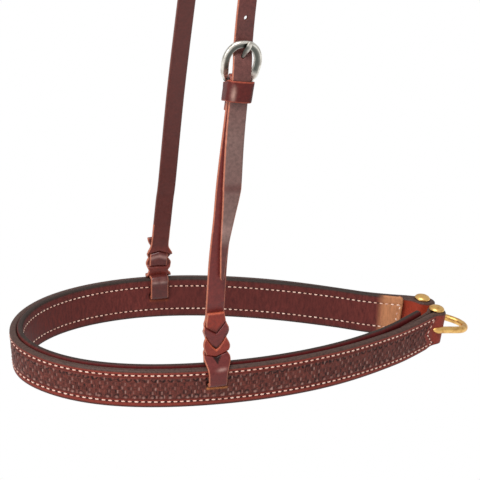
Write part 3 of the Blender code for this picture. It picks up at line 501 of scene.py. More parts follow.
def tone(red, green, blue):
    """Colour of a dyed surface as seen, turned into the value that the shader takes."""
    seen = np.array([red, green, blue]) / 255
    linear = np.where(seen <= 0.04045, seen / 12.92, ((seen + 0.055) / 1.055) ** 2.4)
    return (*linear.tolist(), 1.0)


def plug(tree, socket, value):
    """Feeds a socket from another node's output, or sets its fixed value."""
    if isinstance(value, bpy.types.NodeSocket):
        tree.links.new(value, socket)
    else:
        socket.default_value = value


def node(tree, kind, sockets=None, **settings):
    """A node with its settings and what its sockets take, to the right of the last one."""
    made = tree.nodes.new("ShaderNode" + kind)
    made.location = (200 * len(tree.nodes), 0)
    for label, value in settings.items():
        setattr(made, label, value)
    for label, value in (sockets or {}).items():
        plug(tree, made.inputs[label], value)
    return made


def new_material(name, **fixed):
    """Material with its node tree and its shader, which takes the fixed values."""
    made = bpy.data.materials.new(name)
    made.use_nodes = True
    shader = made.node_tree.nodes["Principled BSDF"]
    for label, value in fixed.items():
        shader.inputs[label.replace("_", " ")].default_value = value
    return made, made.node_tree, shader


def leather_grain_group():
    """Pores and creases of dyed leather: mottle of the dye and height of the grain."""
    group = bpy.data.node_groups.new("leather_grain", "ShaderNodeTree")
    group.interface.new_socket("Place", in_out="INPUT", socket_type="NodeSocketVector")
    group.interface.new_socket("Mottle Scale", in_out="INPUT", socket_type="NodeSocketFloat")
    for label in ("Mottle", "Height", "Cloud"):
        group.interface.new_socket(label, in_out="OUTPUT", socket_type="NodeSocketFloat")
    given = group.nodes.new("NodeGroupInput").outputs
    place, scale = given["Place"], given["Mottle Scale"]
    pores = node(group, "TexVoronoi", {"Vector": place, "Scale": 900.0}, feature="SMOOTH_F1")
    creases = node(group, "TexNoise", {"Vector": place, "Scale": 405.0, "Detail": 5.0,
                                       "Roughness": 0.62})
    mottle = node(group, "TexNoise", {"Vector": place, "Scale": scale, "Detail": 8.0,
                                      "Roughness": 0.68})
    cloud = node(group, "TexNoise", {"Vector": place, "Scale": 17.0, "Detail": 3.0})
    height = node(group, "Math", {0: pores.outputs["Distance"], 1: 0.55,
                                  2: creases.outputs["Fac"]}, operation="MULTIPLY_ADD")
    result = group.nodes.new("NodeGroupOutput").inputs
    plug(group, result["Height"], height.outputs[0])
    for made, label in ((mottle, "Mottle"), (cloud, "Cloud")):
        spread = node(group, "MapRange", {"Value": made.outputs["Fac"], "From Min": 0.32,
                                          "From Max": 0.68})
        plug(group, result[label], spread.outputs["Result"])
    return group


leather_grain = leather_grain_group()


def mask_of(tree, label):
    """Reads a mask that the mesh carries."""
    return node(tree, "Attribute", attribute_name=label).outputs["Fac"]


def blend(tree, below, above, factor):
    """Lays a colour over another; each is a socket or a fixed colour."""
    return node(tree, "Mix", {6: below, 7: above, 0: factor}, data_type="RGBA").outputs[2]


def darker(colour, share):
    """Fixed colour made darker."""
    return (*(value * share for value in colour[:3]), 1.0)


def emboss(tree, shader, height, strength, distance):
    """Raises the surface by a height."""
    raised = node(tree, "Bump", {"Height": height, "Strength": strength, "Distance": distance})
    plug(tree, shader.inputs["Normal"], raised.outputs["Normal"])


def leather(name, light, dark, rough, layers, mottle=420.0, bump=0.3, shine=0.3, coat=0.0,
            stretch=(1.0, 1.0, 1.0), crushed=None):
    """Dyed leather: mottled colour, layers laid over by mask in order, some of them painted shade
    or painted highlight, and a fine grain.
    """
    made, tree, shader = new_material(name, Specular_IOR_Level=shine, Coat_Weight=coat,
                                      Coat_Roughness=0.26)
    place = node(tree, "TexCoord").outputs["Object"]
    drawn = node(tree, "Mapping", {"Vector": place, "Scale": stretch}).outputs["Vector"]
    grain = node(tree, "Group", {"Place": drawn, "Mottle Scale": mottle},
                 node_tree=leather_grain).outputs
    clouded = node(tree, "Math", {0: grain["Cloud"], 1: 0.40}, operation="MULTIPLY")
    colour = blend(tree, blend(tree, dark, light, grain["Mottle"]), darker(dark, 0.70),
                   clouded.outputs[0])
    for label, over, strength, low in layers:
        factor = node(tree, "Math", {0: mask_of(tree, label), 1: strength}, operation="MULTIPLY")
        varied = blend(tree, darker(over, low), over, grain["Mottle"])
        colour = blend(tree, colour, varied, factor.outputs[0])
    plug(tree, shader.inputs["Base Color"], colour)
    if coat and "painted_shade" in [layer[0] for layer in layers]:
        polish = node(tree, "MapRange", {"Value": mask_of(tree, "painted_shade"), "To Min": coat,
                                         "To Max": 0.0})
        plug(tree, shader.inputs["Coat Weight"], polish.outputs["Result"])
    gloss = node(tree, "MapRange", {"Value": grain["Mottle"], "To Min": rough - 0.08,
                                    "To Max": rough + 0.10})
    plug(tree, shader.inputs["Roughness"], gloss.outputs["Result"])
    height = grain["Height"]
    if crushed:
        label, scale, amount = crushed
        blows = node(tree, "TexNoise", {"Vector": place, "Scale": scale, "Detail": 3.0})
        held = node(tree, "Math", {0: blows.outputs["Fac"], 1: mask_of(tree, label)},
                    operation="MULTIPLY")
        height = node(tree, "Math", {0: held.outputs[0], 1: amount, 2: height},
                      operation="MULTIPLY_ADD").outputs[0]
    emboss(tree, shader, height, bump, 0.00016)
    return made


outer_strap = tooled_band()
# Painted light among these layers: the crest colour is a painted highlight, and the underside,
# slot and hole colours are painted shade.
tooled_leather = leather(
    "tooled_burgundy_leather", tone(158, 64, 49), tone(124, 45, 35), 0.54,
    (("field", tone(136, 68, 57), 0.95, 0.24), ("depth", tone(34, 14, 13), 0.95, 0.6),
     ("crest_highlight", tone(204, 168, 156), 0.75, 0.75), ("back", tone(120, 50, 38), 0.8, 0.7),
     ("fold", tone(166, 58, 32), 0.85, 0.75), ("underside_shade", tone(62, 34, 31), 0.9, 0.7),
     ("edge", tone(90, 71, 64), 0.95, 0.35), ("slit", tone(40, 20, 18), 0.9, 0.8),
     ("hole_shade", tone(30, 11, 9), 0.95, 0.9), ("lip", tone(206, 128, 70), 0.9, 0.6)),
    mottle=640.0, bump=0.8, shine=0.25, crushed=("field", 700.0, 4.0))
outer_strap.data.materials.append(tooled_leather)
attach(outer_strap, "noseband")
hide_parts("outer_band")


# The lining is a smooth strap of the same hide, a little taller than the outer one, so that
# its burnished edge shows all round above it. It ends short of the folds and hides the tails.
lining_stitch_rise, lining_pitch, lining_corner = 0.0088, 0.0039, 0.0034
lining_groove, tan_patch_length = 0.00026, 0.0310
lining_seam = seam(lining_stitch_rise, 0.0136, 0.0136, 0.0163)


def lining_strap():
    """Lining with its stitching groove and rounded ends."""
    start, end = lining_setback, band_total - lining_setback
    close = np.array([0.0, 0.0002, 0.0005, 0.0008])
    run = np.concatenate([start + close, np.linspace(start + 0.0012, end - 0.0012, 620),
                          end - close[::-1]])
    share = np.ones(len(run))
    share[[0, -1]], share[[1, -2]], share[[2, -3]] = 0.55, 0.74, 0.88
    spot, outward, up = band_frame(run)
    inset = np.minimum(run, band_total - run)
    middle = np.array([lining_offset(r) for r in inset])
    rows = [*np.linspace(0.0134, 0.0104, 4), *np.linspace(0.0100, 0.0076, 9),
            *np.linspace(0.0066, -0.0066, 12), *np.linspace(-0.0076, -0.0100, 9),
            *np.linspace(-0.0104, -0.0134, 4)]
    section = strip_section(lining_height, lining_round, rows, (-0.0125, -0.006, 0.006, 0.0125))
    out, rise = strip_grid(section, lining_thickness * share, lining_round)
    out_share, face = section[:, 0], section[:, 4]
    rise = rise * (1 - (1 - share[:, None]) * 0.05)
    near_end = np.clip(1 - (inset - lining_setback) / lining_corner, 0, 1)[:, None]
    rise = rise - np.sign(rise) * (lining_corner * (1 - np.sqrt(1 - near_end ** 2))
                                   * ease((np.abs(rise) - 0.0096) / 0.0050))
    far_run = run[:, None] + np.zeros_like(out)
    holes = awl_marks(far_run, rise, lining_seam, lining_pitch) * face
    groove = -lining_groove * pulse(np.abs(rise) - lining_stitch_rise, 0.00055) * face
    slot, lip = (mask * face for mask in slot_masks(far_run, rise))
    out = out + (groove - awl_depth * holes) * (1 - slot) - slot_depth * slot
    patch = ease((tan_patch_length - band_total + far_run) / 0.007) * (out_share > 0)
    patch = patch * (rise < 0.0150)
    edge = np.clip((np.abs(rise) - np.where(out_share < 0, 0.0144, 0.0132)) / 0.0006, 0, 1)
    side = (out_share < 0) * (np.abs(rise) < 0.0149) * 1.0
    side = side * (1 - 0.8 * ease(1 - np.abs(far_run / band_total - 0.5) / 0.13))
    # The awl holes and the hanger slots are painted near black: painted shade inside them.
    masks = {"depth": np.clip(-groove / 0.0003, 0, 1) * 0.5 * (1 - patch), "slit": slot,
             "edge": edge * (1 - patch), "side": side, "tan": patch, "lip": lip,
             "hole_shade": np.clip(holes * 1.4, 0, 1) * (1 - 0.8 * patch)}
    return strip_piece("lining_strap", spot, -outward, up, out - middle[:, None], rise, masks)


lining_piece = lining_strap()
smooth_leather = leather(
    "smooth_burgundy_lining", tone(120, 54, 48), tone(80, 30, 28), 0.58,
    (("depth", tone(58, 26, 24), 0.6, 0.7), ("tan", tone(206, 140, 98), 0.95, 0.66),
     ("side", tone(98, 22, 23), 0.95, 0.6), ("edge", tone(61, 52, 47), 0.95, 0.5),
     ("slit", tone(40, 20, 18), 0.9, 0.8), ("hole_shade", tone(40, 16, 14), 0.9, 0.9),
     ("lip", tone(168, 84, 60), 0.9, 0.6)),
    mottle=600.0, shine=0.2, stretch=(1.0, 1.0, 0.3))
lining_piece.data.materials.append(smooth_leather)
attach(lining_piece, "noseband")
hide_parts("lining_band")


# Two rows of cream saddle stitching hold both layers together. The thread is waxed and laid
# in a groove, with a gap of leather between the stitches, and each row turns in at the ends
# to a point that closes off the fold.
stitch_dip, stitch_square, thread_sink = 0.00045, 0.55, 0.00012


def points_of(mesh):
    """Points of a mesh as a table."""
    points = np.empty(len(mesh.vertices) * 3)
    mesh.vertices.foreach_get("co", points)
    return points.reshape(-1, 3)


def stitch_shape():
    """One stitch: a rounded bar along X that dips at both ends."""
    bpy.ops.object.select_all(action="DESELECT")
    bpy.ops.mesh.primitive_uv_sphere_add(segments=8, ring_count=7, radius=1.0,
                                         rotation=(0.0, math.pi / 2, 0.0))
    bpy.ops.object.transform_apply(location=False, rotation=True, scale=False)
    shape = bpy.context.object
    points, faces = points_of(shape.data), [tuple(face.vertices) for face in shape.data.polygons]
    bpy.data.objects.remove(shape, do_unlink=True)
    squared = np.sign(points[:, 0]) * np.abs(points[:, 0]) ** stitch_square
    height = points[:, 2] * stitch_half_width * 0.9 - stitch_dip * np.abs(squared) ** 3
    return np.column_stack([squared * stitch_length / 2, points[:, 1] * stitch_half_width,
                            height]), faces


stitch_points, stitch_faces = stitch_shape()


def sew(name, stitches, size):
    """Copies of the stitch: each has a middle, a direction and the face that it lies on."""
    points, faces = [], []
    for middle, way, face in stitches:
        way = unit(way)
        face = unit(face - way * np.dot(face, way))
        side = np.cross(face, way)
        base = len(points) * len(stitch_points)
        points.append(middle + size * stitch_points @ np.array([way, side, face]))
        faces += [tuple(base + k for k in f) for f in stitch_faces]
    return new_piece(name, np.vstack(points), faces)


def row_of_stitches(path, offset_at, sign, drop, pitch=stitch_pitch):
    """Stitches along a path of (run, rise) on one face of the band."""
    count = stitch_count(path, pitch)
    middles = (np.arange(count) + 0.5) / count
    made = []
    for share in middles:
        spots = []
        for run, rise in places_along(path, (share - 0.18 / count, share, share + 0.18 / count)):
            out = offset_at(min(run, band_total - run))
            lift = lift_at(run) if sign > 0 else 0.0
            spots.append((band_place(run, out, rise - drop + lift)[0], run))
        outward = band_frame(spots[1][1])[1][0]
        made.append((spots[1][0], spots[2][0] - spots[0][0], outward * sign))
    return made


def outer_face(run):
    """Height of the grain face of the outer strap where the thread lies."""
    middle, thickness = outer_offset(run)
    return middle + thickness / 2 - thread_sink


def lining_face(run):
    """Height of the grain face of the lining where the thread lies."""
    return lining_offset(run) - lining_thickness / 2 + thread_sink


outer_thread = sew("outer_stitching", [
    stitch for path in outer_seam
    for stitch in row_of_stitches(path, outer_face, 1, outer_drop)], 1.0)
lining_thread = sew("lining_stitching", [
    stitch for path in lining_seam
    for stitch in row_of_stitches(path, lining_face, -1, 0.0, lining_pitch)], 0.86)


def thread_material():
    """Waxed cream thread with its twist."""
    made, tree, shader = new_material("waxed_cream_thread", Roughness=0.55)
    place = node(tree, "TexCoord").outputs["Object"]
    soil = node(tree, "TexNoise", {"Vector": place, "Scale": 260.0, "Detail": 4.0})
    spread = node(tree, "MapRange", {"Value": soil.outputs["Fac"], "From Min": 0.35,
                                     "From Max": 0.65})
    plug(tree, shader.inputs["Base Color"],
         blend(tree, tone(216, 162, 142), tone(252, 219, 200), spread.outputs["Result"]))
    twist = node(tree, "TexWave", {"Vector": place, "Scale": 520.0, "Distortion": 1.0},
                 bands_direction="DIAGONAL")
    emboss(tree, shader, twist.outputs["Fac"], 0.5, 0.00012)
    return made


cream_thread = thread_material()
for piece, label in ((outer_thread, "tooled_leather"), (lining_thread, "lining_leather")):
    piece.data.materials.append(cream_thread)
    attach(piece, "noseband")


# The hangers are half-inch straps. Each is threaded through the slot in both layers and held by
# its own plaited end: the end passes through slits of the strap and the strap through a slit of
# the end, so that the layers swap places three times. In the mesh the slots are shallow recesses
# and the strap passes through the band's leather behind them, and the plaited layers pass through
# each other with no slits cut.
strap_width, strap_thickness, strap_bend = 0.0127, 0.0028, 0.0020
hanger_gap, hanger_round = 0.0009, 0.0007
strap_out = outer_thickness + strap_thickness / 2 + hanger_gap
strap_in = lining_thickness + strap_thickness / 2 + hanger_gap
outside_join, inside_join = {-1: (0.0080, 0.0215), 1: (0.0092, 0.0168)}, (0.0138, 0.0186)
tag_height, knot_end = {-1: 0.0513, 1: 0.0444}, {-1: 0.0600, 1: 0.0545}
knot_sway, knot_depth, knot_swell = {-1: -0.0002, 1: 0.0034}, 0.00135, 0.0046
gap_depth, gap_half_width = 0.0054, 0.0035
cross_heights = {-1: (0.0188, 0.0247, 0.0363), 1: (0.0160, 0.0232, 0.0346)}
cross_rises = {-1: (0.42, 0.69, 1.15), 1: (-0.05, -0.05, -0.30)}
cross_bows = {-1: (0.0, 105.0, 10.0), 1: (0.0, 0.0, 0.0)}
cross_left = {-1: (0.60, 1.0, 0.55), 1: (1.0, 1.0, 1.0)}
tag_pinch, tag_stray = {-1: 0.0004, 1: 0.0020}, {-1: 0.0, 1: 0.0046}
swell_heights = {-1: (0.0190, 0.0282, 0.0390), 1: (0.0160, 0.0254, 0.0336)}
lobe_size = {-1: (1.05, 1.50), 1: (0.95, 1.50)}
lobe_drop = {-1: (0.0000, 0.0020), 1: (0.0010, 0.0010)}
swell_reach = {-1: 0.0058, 1: 0.0040}
cross_blend, row_step, cut_end, suede_fade = 0.0026, 0.0012, 0.0008, 0.0060
stray_start, stray_run = 0.0370, 0.0075


def hanger_way(side):
    """Direction of the band at a hanger, pointing to the bow."""
    run = hanger_run(side)
    way = unit(read_table(run, band_run, band_along))
    return np.array([way[0], way[1], 0.0]) * math.copysign(1, way[0])


def hanger_frame(side):
    """Place in (across, up, outward) about the slot of one hanger."""
    spot = band_place(hanger_run(side), 0.0, slot_rise[side])[0]
    way = hanger_way(side)
    outward = side * np.array([-way[1], way[0], 0.0])

    def place(u, v, o):
        return spot + way * u + outward * o + np.array([0.0, 0.0, v])
    return place


def through(points, step):
    """Line with even steps along a smooth curve through the points."""
    points = np.asarray(points, float)
    padded = np.vstack([2 * points[0] - points[1], points, 2 * points[-1] - points[-2]])
    dense = []
    for i in range(1, len(padded) - 2):
        a, b, c, d = padded[i - 1:i + 3]
        for t in np.linspace(0, 1, 24, endpoint=False):
            dense.append(0.5 * (2 * b + (c - a) * t + (2 * a - 5 * b + 4 * c - d) * t * t
                                + (3 * b - a - 3 * c + d) * t ** 3))
    dense = np.array(dense + [points[-1]])
    run = run_along(dense)
    return read_table(np.linspace(0, run[-1], max(2, int(round(run[-1] / step)) + 1)), run, dense)


def crossing(across, side, index):
    """Height of the line along which the layers of a plait change places."""
    reach = min(abs(across), 0.0100)
    lean = cross_left[side][index] if across < 0 else 1.0
    rise = cross_rises[side][index] * reach * lean + cross_bows[side][index] * reach ** 2
    return cross_heights[side][index] + rise


def cross_sign(v, across, side):
    """Plus one where the strap lies outside its own end, minus one where it lies inside."""
    sign, value = 1.0, 1.0
    for index in range(3):
        value = value - 2 * ease((v - crossing(across, side, index)) / cross_blend + 0.5) * sign
        sign = -sign
    return value


def swell(v, rows, side):
    """Extra half width where slit halves are spread round the other layer."""
    return max(pulse(v - height, swell_reach[side])
               for height in swell_heights[side][rows]) * knot_swell / 2


def layer_join(v, span):
    """Share of the way from the face of the band to the middle of the plait."""
    return ease((v - span[0]) / (span[1] - span[0]))


def knot_shift(v, side):
    """Sideways lean of a plaited end, which grows towards its leg."""
    share = max(0.0, v - inside_join[0]) / (knot_end[side] - inside_join[0])
    return knot_sway[side] * share ** 2


def knot_path(direction, side, step=0.0005):
    """Centre line (across, up, outward) of a plaited end: up the inside or the outside."""
    if direction == "inside":
        rows = np.arange(tag_height[side], strap_bend + step, -step)
        start, span, stray = -strap_in, inside_join, tag_stray[side]
    else:
        rows = np.arange(strap_bend + step, knot_end[side], step)
        start, span, stray = strap_out, outside_join[side], 0.0
    return [(knot_shift(v, side) - stray * ease((v - stray_start) / stray_run), v,
             start * (1 - layer_join(v, span))) for v in rows]


def threading():
    """Centre line of the strap through the slot, from the inside to the outside."""
    turns = np.radians((0, 15, 30, 45, 60, 75, 90))
    line = [(0.0, strap_bend * (1 - math.sin(turn)),
             strap_bend * (1 - math.cos(turn)) - strap_in) for turn in turns]
    line += [(0.0, 0.0, (strap_bend - strap_in) * (1 - share) + (strap_out - strap_bend) * share)
             for share in (0.2, 0.4, 0.6, 0.8)]
    return line + [(0.0, strap_bend * (1 - math.sin(turn)),
                    strap_out - strap_bend * (1 - math.cos(turn))) for turn in turns[::-1]]


def strap_piece(name, line, halves, ways, side, lift, plait, raw_edge):
    """Flat strap with rounded edges along a line, its grain on the facing side."""
    line = np.asarray(line, float)
    along, run = tangents(line), run_along(line)
    half_row = (0.97, 0.91, 0.83, 0.74, 0.64, 0.54, 0.44, 0.34, 0.24, 0.15, 0.07)
    shares = (*half_row, 0.0, *(-share for share in half_row[::-1]))
    turns = np.radians((60, 30, 0, -30, -60))
    outline = [(share, 0.0, 1.0, 0.0, 0) for share in shares]
    outline += [(-1.0, -math.cos(turn), 0.0, math.sin(turn), 1) for turn in turns]
    outline += [(share, 0.0, -1.0, 0.0, 0) for share in shares[::-1]]
    outline += [(1.0, math.cos(turn), 0.0, math.sin(turn), 1) for turn in turns[::-1]]
    points = np.empty((len(line), len(outline), 3))
    masks = {label: np.zeros(points.shape[:2])
             for label in ("edge", "flesh", "suede", "cut", "painted_shade", "worn", "end")}
    deep = strap_thickness / 2
    for i, spot in enumerate(line):
        wide = unit(ways[i] - along[i] * np.dot(ways[i], along[i]))
        face = side * np.cross(along[i], wide)
        left_half, right_half = (half - hanger_round for half in halves[i])
        bare = (1.0 if side < 0 else 0.25) * (min(run[i], run[-1] - run[i]) < cut_end)
        for j, (share, corner, flat, sine, edge) in enumerate(outline):
            u = share * (right_half if share > 0 else left_half) + corner * hanger_round
            o = sine * deep * 0.93 if edge else flat * deep * (1 - 0.14 * abs(share) ** 6)
            points[i, j] = spot + wide * u + face * (lift(i, u) + o)
            back = 1.0 if flat < 0 or (edge and sine < -0.6) else 0.0
            suede, cut, painted_shade, worn = plait(i, u)
            values = (edge * raw_edge(i, u), back * (1 - suede), back * suede, back * cut, painted_shade,
                      worn * (flat > 0), bare)
            for mask, value in zip(masks.values(), values):
                mask[i, j] = value
    return new_piece(name, points.reshape(-1, 3), skin_faces(*points.shape[:2]), masks)


def plait_lift(v, u, side):
    """Depth of the plait in the strap's own facing direction."""
    fade = 1 - ease((v - tag_height[side]) / (knot_end[side] - tag_height[side]))
    return knot_depth * cross_sign(v, u, side) * layer_join(v, outside_join[side]) * fade


def plaited_way(side):
    """Centre line of a plaited strap: its end up the inside, the slot, and the way up outside."""
    inside = knot_path("inside", side)
    bend = threading()
    return inside + bend + knot_path("outside", side), len(inside), len(inside) + len(bend)


def plaited_half(side, v, index, inside, bent, hand):
    """Half width on one hand of a plaited strap, whose slit halves spread round the other."""
    lobe = v + lobe_drop[side][hand]
    if index < inside:
        narrow = ease((v - cross_heights[side][2]) / (tag_height[side] - cross_heights[side][2]))
        full = 0.0030 * narrow * (1 - narrow) if side < 0 else 0.0
        spread = swell(lobe, slice(1, 2), side) * lobe_size[side][hand] if side < 0 else 0.0
        return strap_width / 2 + spread - tag_pinch[side] * narrow + full
    rows = slice(0, 3, 2) if side < 0 else slice(0, 3)
    spread = swell(lobe, rows, side) * lobe_size[side][hand] if index >= bent else 0.0
    return strap_width / 2 + spread


def plait_finish(side, heights, inside):
    """Masks of a plait: suede flesh side, raw cut of the slit, painted shade in the hollows,
    painted highlights on the bends.
    """
    worn_top = knot_end[-1] if side < 0 else cross_heights[1][2] + suede_fade

    def finish(i, u):
        if i >= len(heights):
            return 0.0, 0.0, 0.0, 0.0
        v = heights[i]
        # On the far side the suede colour is laid on at under a third of its strength, as painted
        # shade.
        suede = (1 - ease((v - worn_top + suede_fade) / suede_fade)) * (1.0 if side < 0 else 0.30)
        slit, below = v - crossing(u, side, 1), v - crossing(u, side, 2)
        if side > 0:
            # Painted highlights on the far plait: a band along the bend of the end above the slot,
            # and one just below the top crossing.
            low = pulse(v - 0.0129, 0.0010) * (0.35 + 0.65 * abs(math.sin(u * 560.0 + 0.4)))
            high = pulse(below + 0.0034, 0.0013)
            return suede, 0.0, 0.0, max(0.7 * low, 0.6 * high) if i < inside else 0.0
        if i < inside:
            # Painted shade: a dark patch in the hollow just above the top crossing.
            shade = 0.75 * pulse(below - 0.0006, 0.0022) * pulse(u, 0.0045)
            return suede, pulse(slit + 0.0004, 0.0008), shade, 0.0
        # Painted shade: the gap where the strap's halves part below the lowest crossing, and a
        # dark dip at the middle of the slit.
        down = (crossing(0.0, side, 0) + 0.0004 - v) / gap_depth
        inner = gap_half_width * (1 - down) - abs(u - 0.0002)
        shade = ease((down + 0.1) / 0.1) * ease(inner / 0.0007 + 0.5)
        middle = math.exp(-(u / 0.0026) ** 4) * pulse(slit - 0.0011, 0.0010)
        # Painted highlight on the slope where the near strap bends out over the band.
        bend = pulse(v - 0.0110 - 0.06 * (u - 0.003), 0.0009) * pulse(u - 0.0026, 0.0030)
        return suede, 0.0, max(shade, middle), 0.85 * bend
    return finish


near_leg = ((0.1237, 1.000, 0.000), (0.1800, 0.972, 0.056), (0.2351, 0.930, 0.150),
            (0.2895, 0.893, 0.229), (0.3450, 0.848, 0.310))
heel_lies = (0.4197, 0.7755, 0.480)
heel_bar_radius, heel_tail, heel_closing = 0.0014, 0.0200, 0.0052


def leg_point(shares, side):
    """World place of a leg: height share, spread share and lean share."""
    slot = hanger_frame(side)(0.0, 0.0, 0.0)
    height, spread, lean = shares
    return np.array([slot[0] * (1 - lean), slot[1] * spread, slot[2] * (1 - height)])


heel_spot = leg_point(heel_lies, -1)
heel_up = unit(np.array([0.170, 0.140, 1.0]))
heel_across = unit(np.array([1.0, 0.0, 0.0]) - heel_up * heel_up[0])
heel_out = -np.cross(heel_up, heel_across)


def heel(u, v, o):
    """Place in (across, along, outward) about the heel bar of the buckle."""
    return heel_spot + heel_across * u + heel_up * v + heel_out * o


def fold_out(drop):
    """Outward offset of the cheek strap's centre at a distance below the heel bar."""
    wide = heel_bar_radius + fit_gap + strap_thickness / 2
    close = strap_thickness / 2 + fit_gap / 2
    return wide + (close - wide) * ease(drop / heel_closing)


def cheek_strap_line():
    """Centre line of the near cheek strap from the plait up to the heel bar."""
    start = hanger_frame(-1)(*knot_path("outside", -1, 0.0015)[-1])
    legs = [leg_point(s, -1) for s in near_leg]
    below = [heel(0.0, -heel_tail * share, fold_out(heel_tail * share))
             for share in (1.0, 0.6, 0.4, 0.25, 0.12)]
    return through([start, *legs[1:-1], *below, heel(0.0, 0.0, fold_out(0.0))], row_step)


cheek_centre = cheek_strap_line()


def cheek_strap():
    """Short near-side strap: plaited at the band, folded round the heel bar."""
    place = hanger_frame(-1)
    lower, inside, bent = plaited_way(-1)
    lower = lower[:-2]
    heights = [p[1] for p in lower]
    line = [place(*p) for p in lower]
    count = len(line)
    radius = fold_out(0.0)
    fold = [heel(0.0, radius * math.sin(turn), radius * math.cos(turn))
            for turn in np.radians(np.linspace(10, 170, 14))]
    tail = [heel(0.0, -heel_tail * share, -fold_out(heel_tail * share))
            for share in np.linspace(0, 1, 18)]
    line = line + list(cheek_centre[1:]) + fold + tail
    halves = [[plaited_half(-1, heights[i], i, inside, bent, hand) if i < count
               else strap_width / 2 for hand in (0, 1)] for i in range(len(line))]
    ways = []
    for spot in line:
        share = np.clip((spot[2] - line[count][2]) / (line[-1][2] - line[count][2]), 0, 1)
        ways.append(hanger_way(-1) * (1 - share) + heel_across * share)
    turning = count + len(cheek_centre) - 4
    return strap_piece("near_cheek", line, halves, ways, -1,
                       lambda i, u: plait_lift(heights[i], u, -1) if i < count else 0.0,
                       plait_finish(-1, heights, inside),
                       # Round the heel bar the cut edges are laid on at a third of their strength:
                       # painted shade in the fold.
                       lambda i, u: 0.35 if i > turning else 1.0)


near_cheek = cheek_strap()
strap_colour_layers = (
    ("flesh", tone(94, 40, 34), 0.9, 0.7), ("suede", tone(150, 50, 33), 0.95, 0.58),
    ("edge", tone(212, 126, 96), 0.9, 0.6), ("end", tone(198, 96, 68), 0.85, 0.7),
    ("cut", tone(216, 108, 76), 0.95, 0.75), ("painted_shade", tone(38, 9, 6), 0.98, 0.8),
    ("worn", tone(210, 166, 156), 0.75, 0.7))
strap_leather = leather("strap_burgundy_leather", tone(128, 50, 45), tone(97, 34, 32), 0.44,
                        strap_colour_layers, mottle=460.0, coat=0.25)
near_cheek.data.materials.append(strap_leather)
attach(near_cheek, "noseband")
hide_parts("near_cheek_strap")


# The crown strap is one long strap. It is plaited at the far side of the band, goes up over
# the poll and down the near side through the buckle and keeper, and ends in a point. Adjusting
# holes are punched above the buckle, and its cut edges are left undyed.
far_leg = ((0.1500, 0.990, 0.133), (0.1810, 0.969, 0.168), (0.3200, 0.860, 0.270),
           (0.4604, 0.736, 0.402), (0.5800, 0.625, 0.525), (0.6987, 0.520, 0.644),
           (0.8000, 0.430, 0.760), (0.8700, 0.365, 0.840))
upper_near = ((0.8700, 0.395, 0.985), (0.7900, 0.440, 0.955), (0.6987, 0.505, 0.898),
              (0.6100, 0.585, 0.810), (0.5400, 0.655, 0.715))
buckle_pass = ((-0.0001, 0.0420, -0.0008), (0.0004, 0.0330, -0.0014), (0.0006, 0.0275, -0.0012),
               (0.0006, 0.0235, -0.0008), (0.0004, 0.0195, 0.0004), (0.0002, 0.0150, 0.0034),
               (0.0001, 0.0080, 0.0056), (0.0001, 0.0010, 0.0066), (0.0003, -0.0060, 0.0056),
               (0.0006, -0.0140, 0.0048), (0.0012, -0.0300, 0.0047))
billet_side = (0.0015, 0.0028, 0.0033, 0.0024, 0.0019, 0.0021)
billet_down = (0.0440, 0.0620, 0.0735, 0.0880, 0.1100, 0.1312)
billet_out = (0.0045, 0.0044, 0.0042, 0.0045, 0.0044, 0.0046)
# Strength of the painted sheen, a pale grey veil of reflected light, by distance from the point of
# the billet.
billet_sheen = ((0.0000, 0.10), (0.0220, 0.15), (0.0290, 0.95), (0.0400, 0.90), (0.0590, 0.70),
                (0.0630, 0.25), (0.0670, 0.70), (0.0950, 0.85), (0.1150, 0.60), (0.1400, 0.25),
                (0.1800, 0.12), (0.3000, 0.0))
billet_length, billet_taper_start, billet_tip, poll_radius = 0.1420, 0.0795, 0.0014, 0.0240
hole_radius, hole_spacing, hole_count = 0.0013, 0.0242, 4
worn_hole_length, worn_hole_width, first_hole_height = 0.0030, 0.0026, 0.0164


def arch_over_poll():
    """Centre line over the poll, from the far leg to the near leg."""
    radius = poll_radius + strap_thickness / 2
    far_x = leg_point(far_leg[-1], 1)[0] * 0.55
    near_x = leg_point(upper_near[0], -1)[0] * 0.55
    line = []
    for share in np.linspace(0, 1, 7):
        angle = math.radians(12 + 156 * share)
        x = far_x * (1 - share) ** 2 + near_x * share ** 2
        line.append((x * abs(math.cos(angle)), radius * math.cos(angle),
                     strap_thickness / 2 - radius + radius * math.sin(angle)))
    return line


def billet_points():
    """Pointed end below the keeper, just in front of the cheek strap."""
    points = []
    for side_shift, down, out in zip(billet_side, billet_down, billet_out):
        height = heel_spot[2] - down
        base = read_table(height, cheek_centre[:, 2], cheek_centre)
        points.append(base + np.array([side_shift, -out, 0.0]))
    return points


def punch_holes(piece, line, raw):
    """Round adjusting holes and the longer one that the tongue has worn."""
    near = line[line[:, 1] < 0]
    order = near[np.argsort(near[:, 2])]
    along = tangents(order)
    base_height = heel(0.0, first_hole_height, 0.0)[2]
    for index in range(hole_count + 1):
        height = base_height + index * hole_spacing
        spot = read_table(height, order[:, 2], order)
        way = unit(read_table(height, order[:, 2], along))
        axis = unit(np.cross(way, np.array([1.0, 0.0, 0.0])))
        bpy.ops.object.select_all(action="DESELECT")
        bpy.ops.mesh.primitive_cylinder_add(vertices=28, radius=1.0, depth=0.012)
        punch = bpy.context.object
        punch.data.materials.append(raw)
        points = points_of(punch.data)
        long = worn_hole_length / 2 if index == 0 else hole_radius * 1.15
        wide = worn_hole_width / 2 if index == 0 else hole_radius
        points = (spot + points[:, :1] * wide * np.cross(way, axis) + points[:, 1:2] * long * way
                  + points[:, 2:] * axis)
        punch.data.vertices.foreach_set("co", points.ravel())
        cut = piece.modifiers.new("punch", "BOOLEAN")
        cut.operation, cut.object, cut.solver = "DIFFERENCE", punch, "EXACT"
        cut.material_mode = "TRANSFER"
        pick(piece)
        bpy.ops.object.modifier_apply(modifier="punch")
        bpy.data.objects.remove(punch, do_unlink=True)


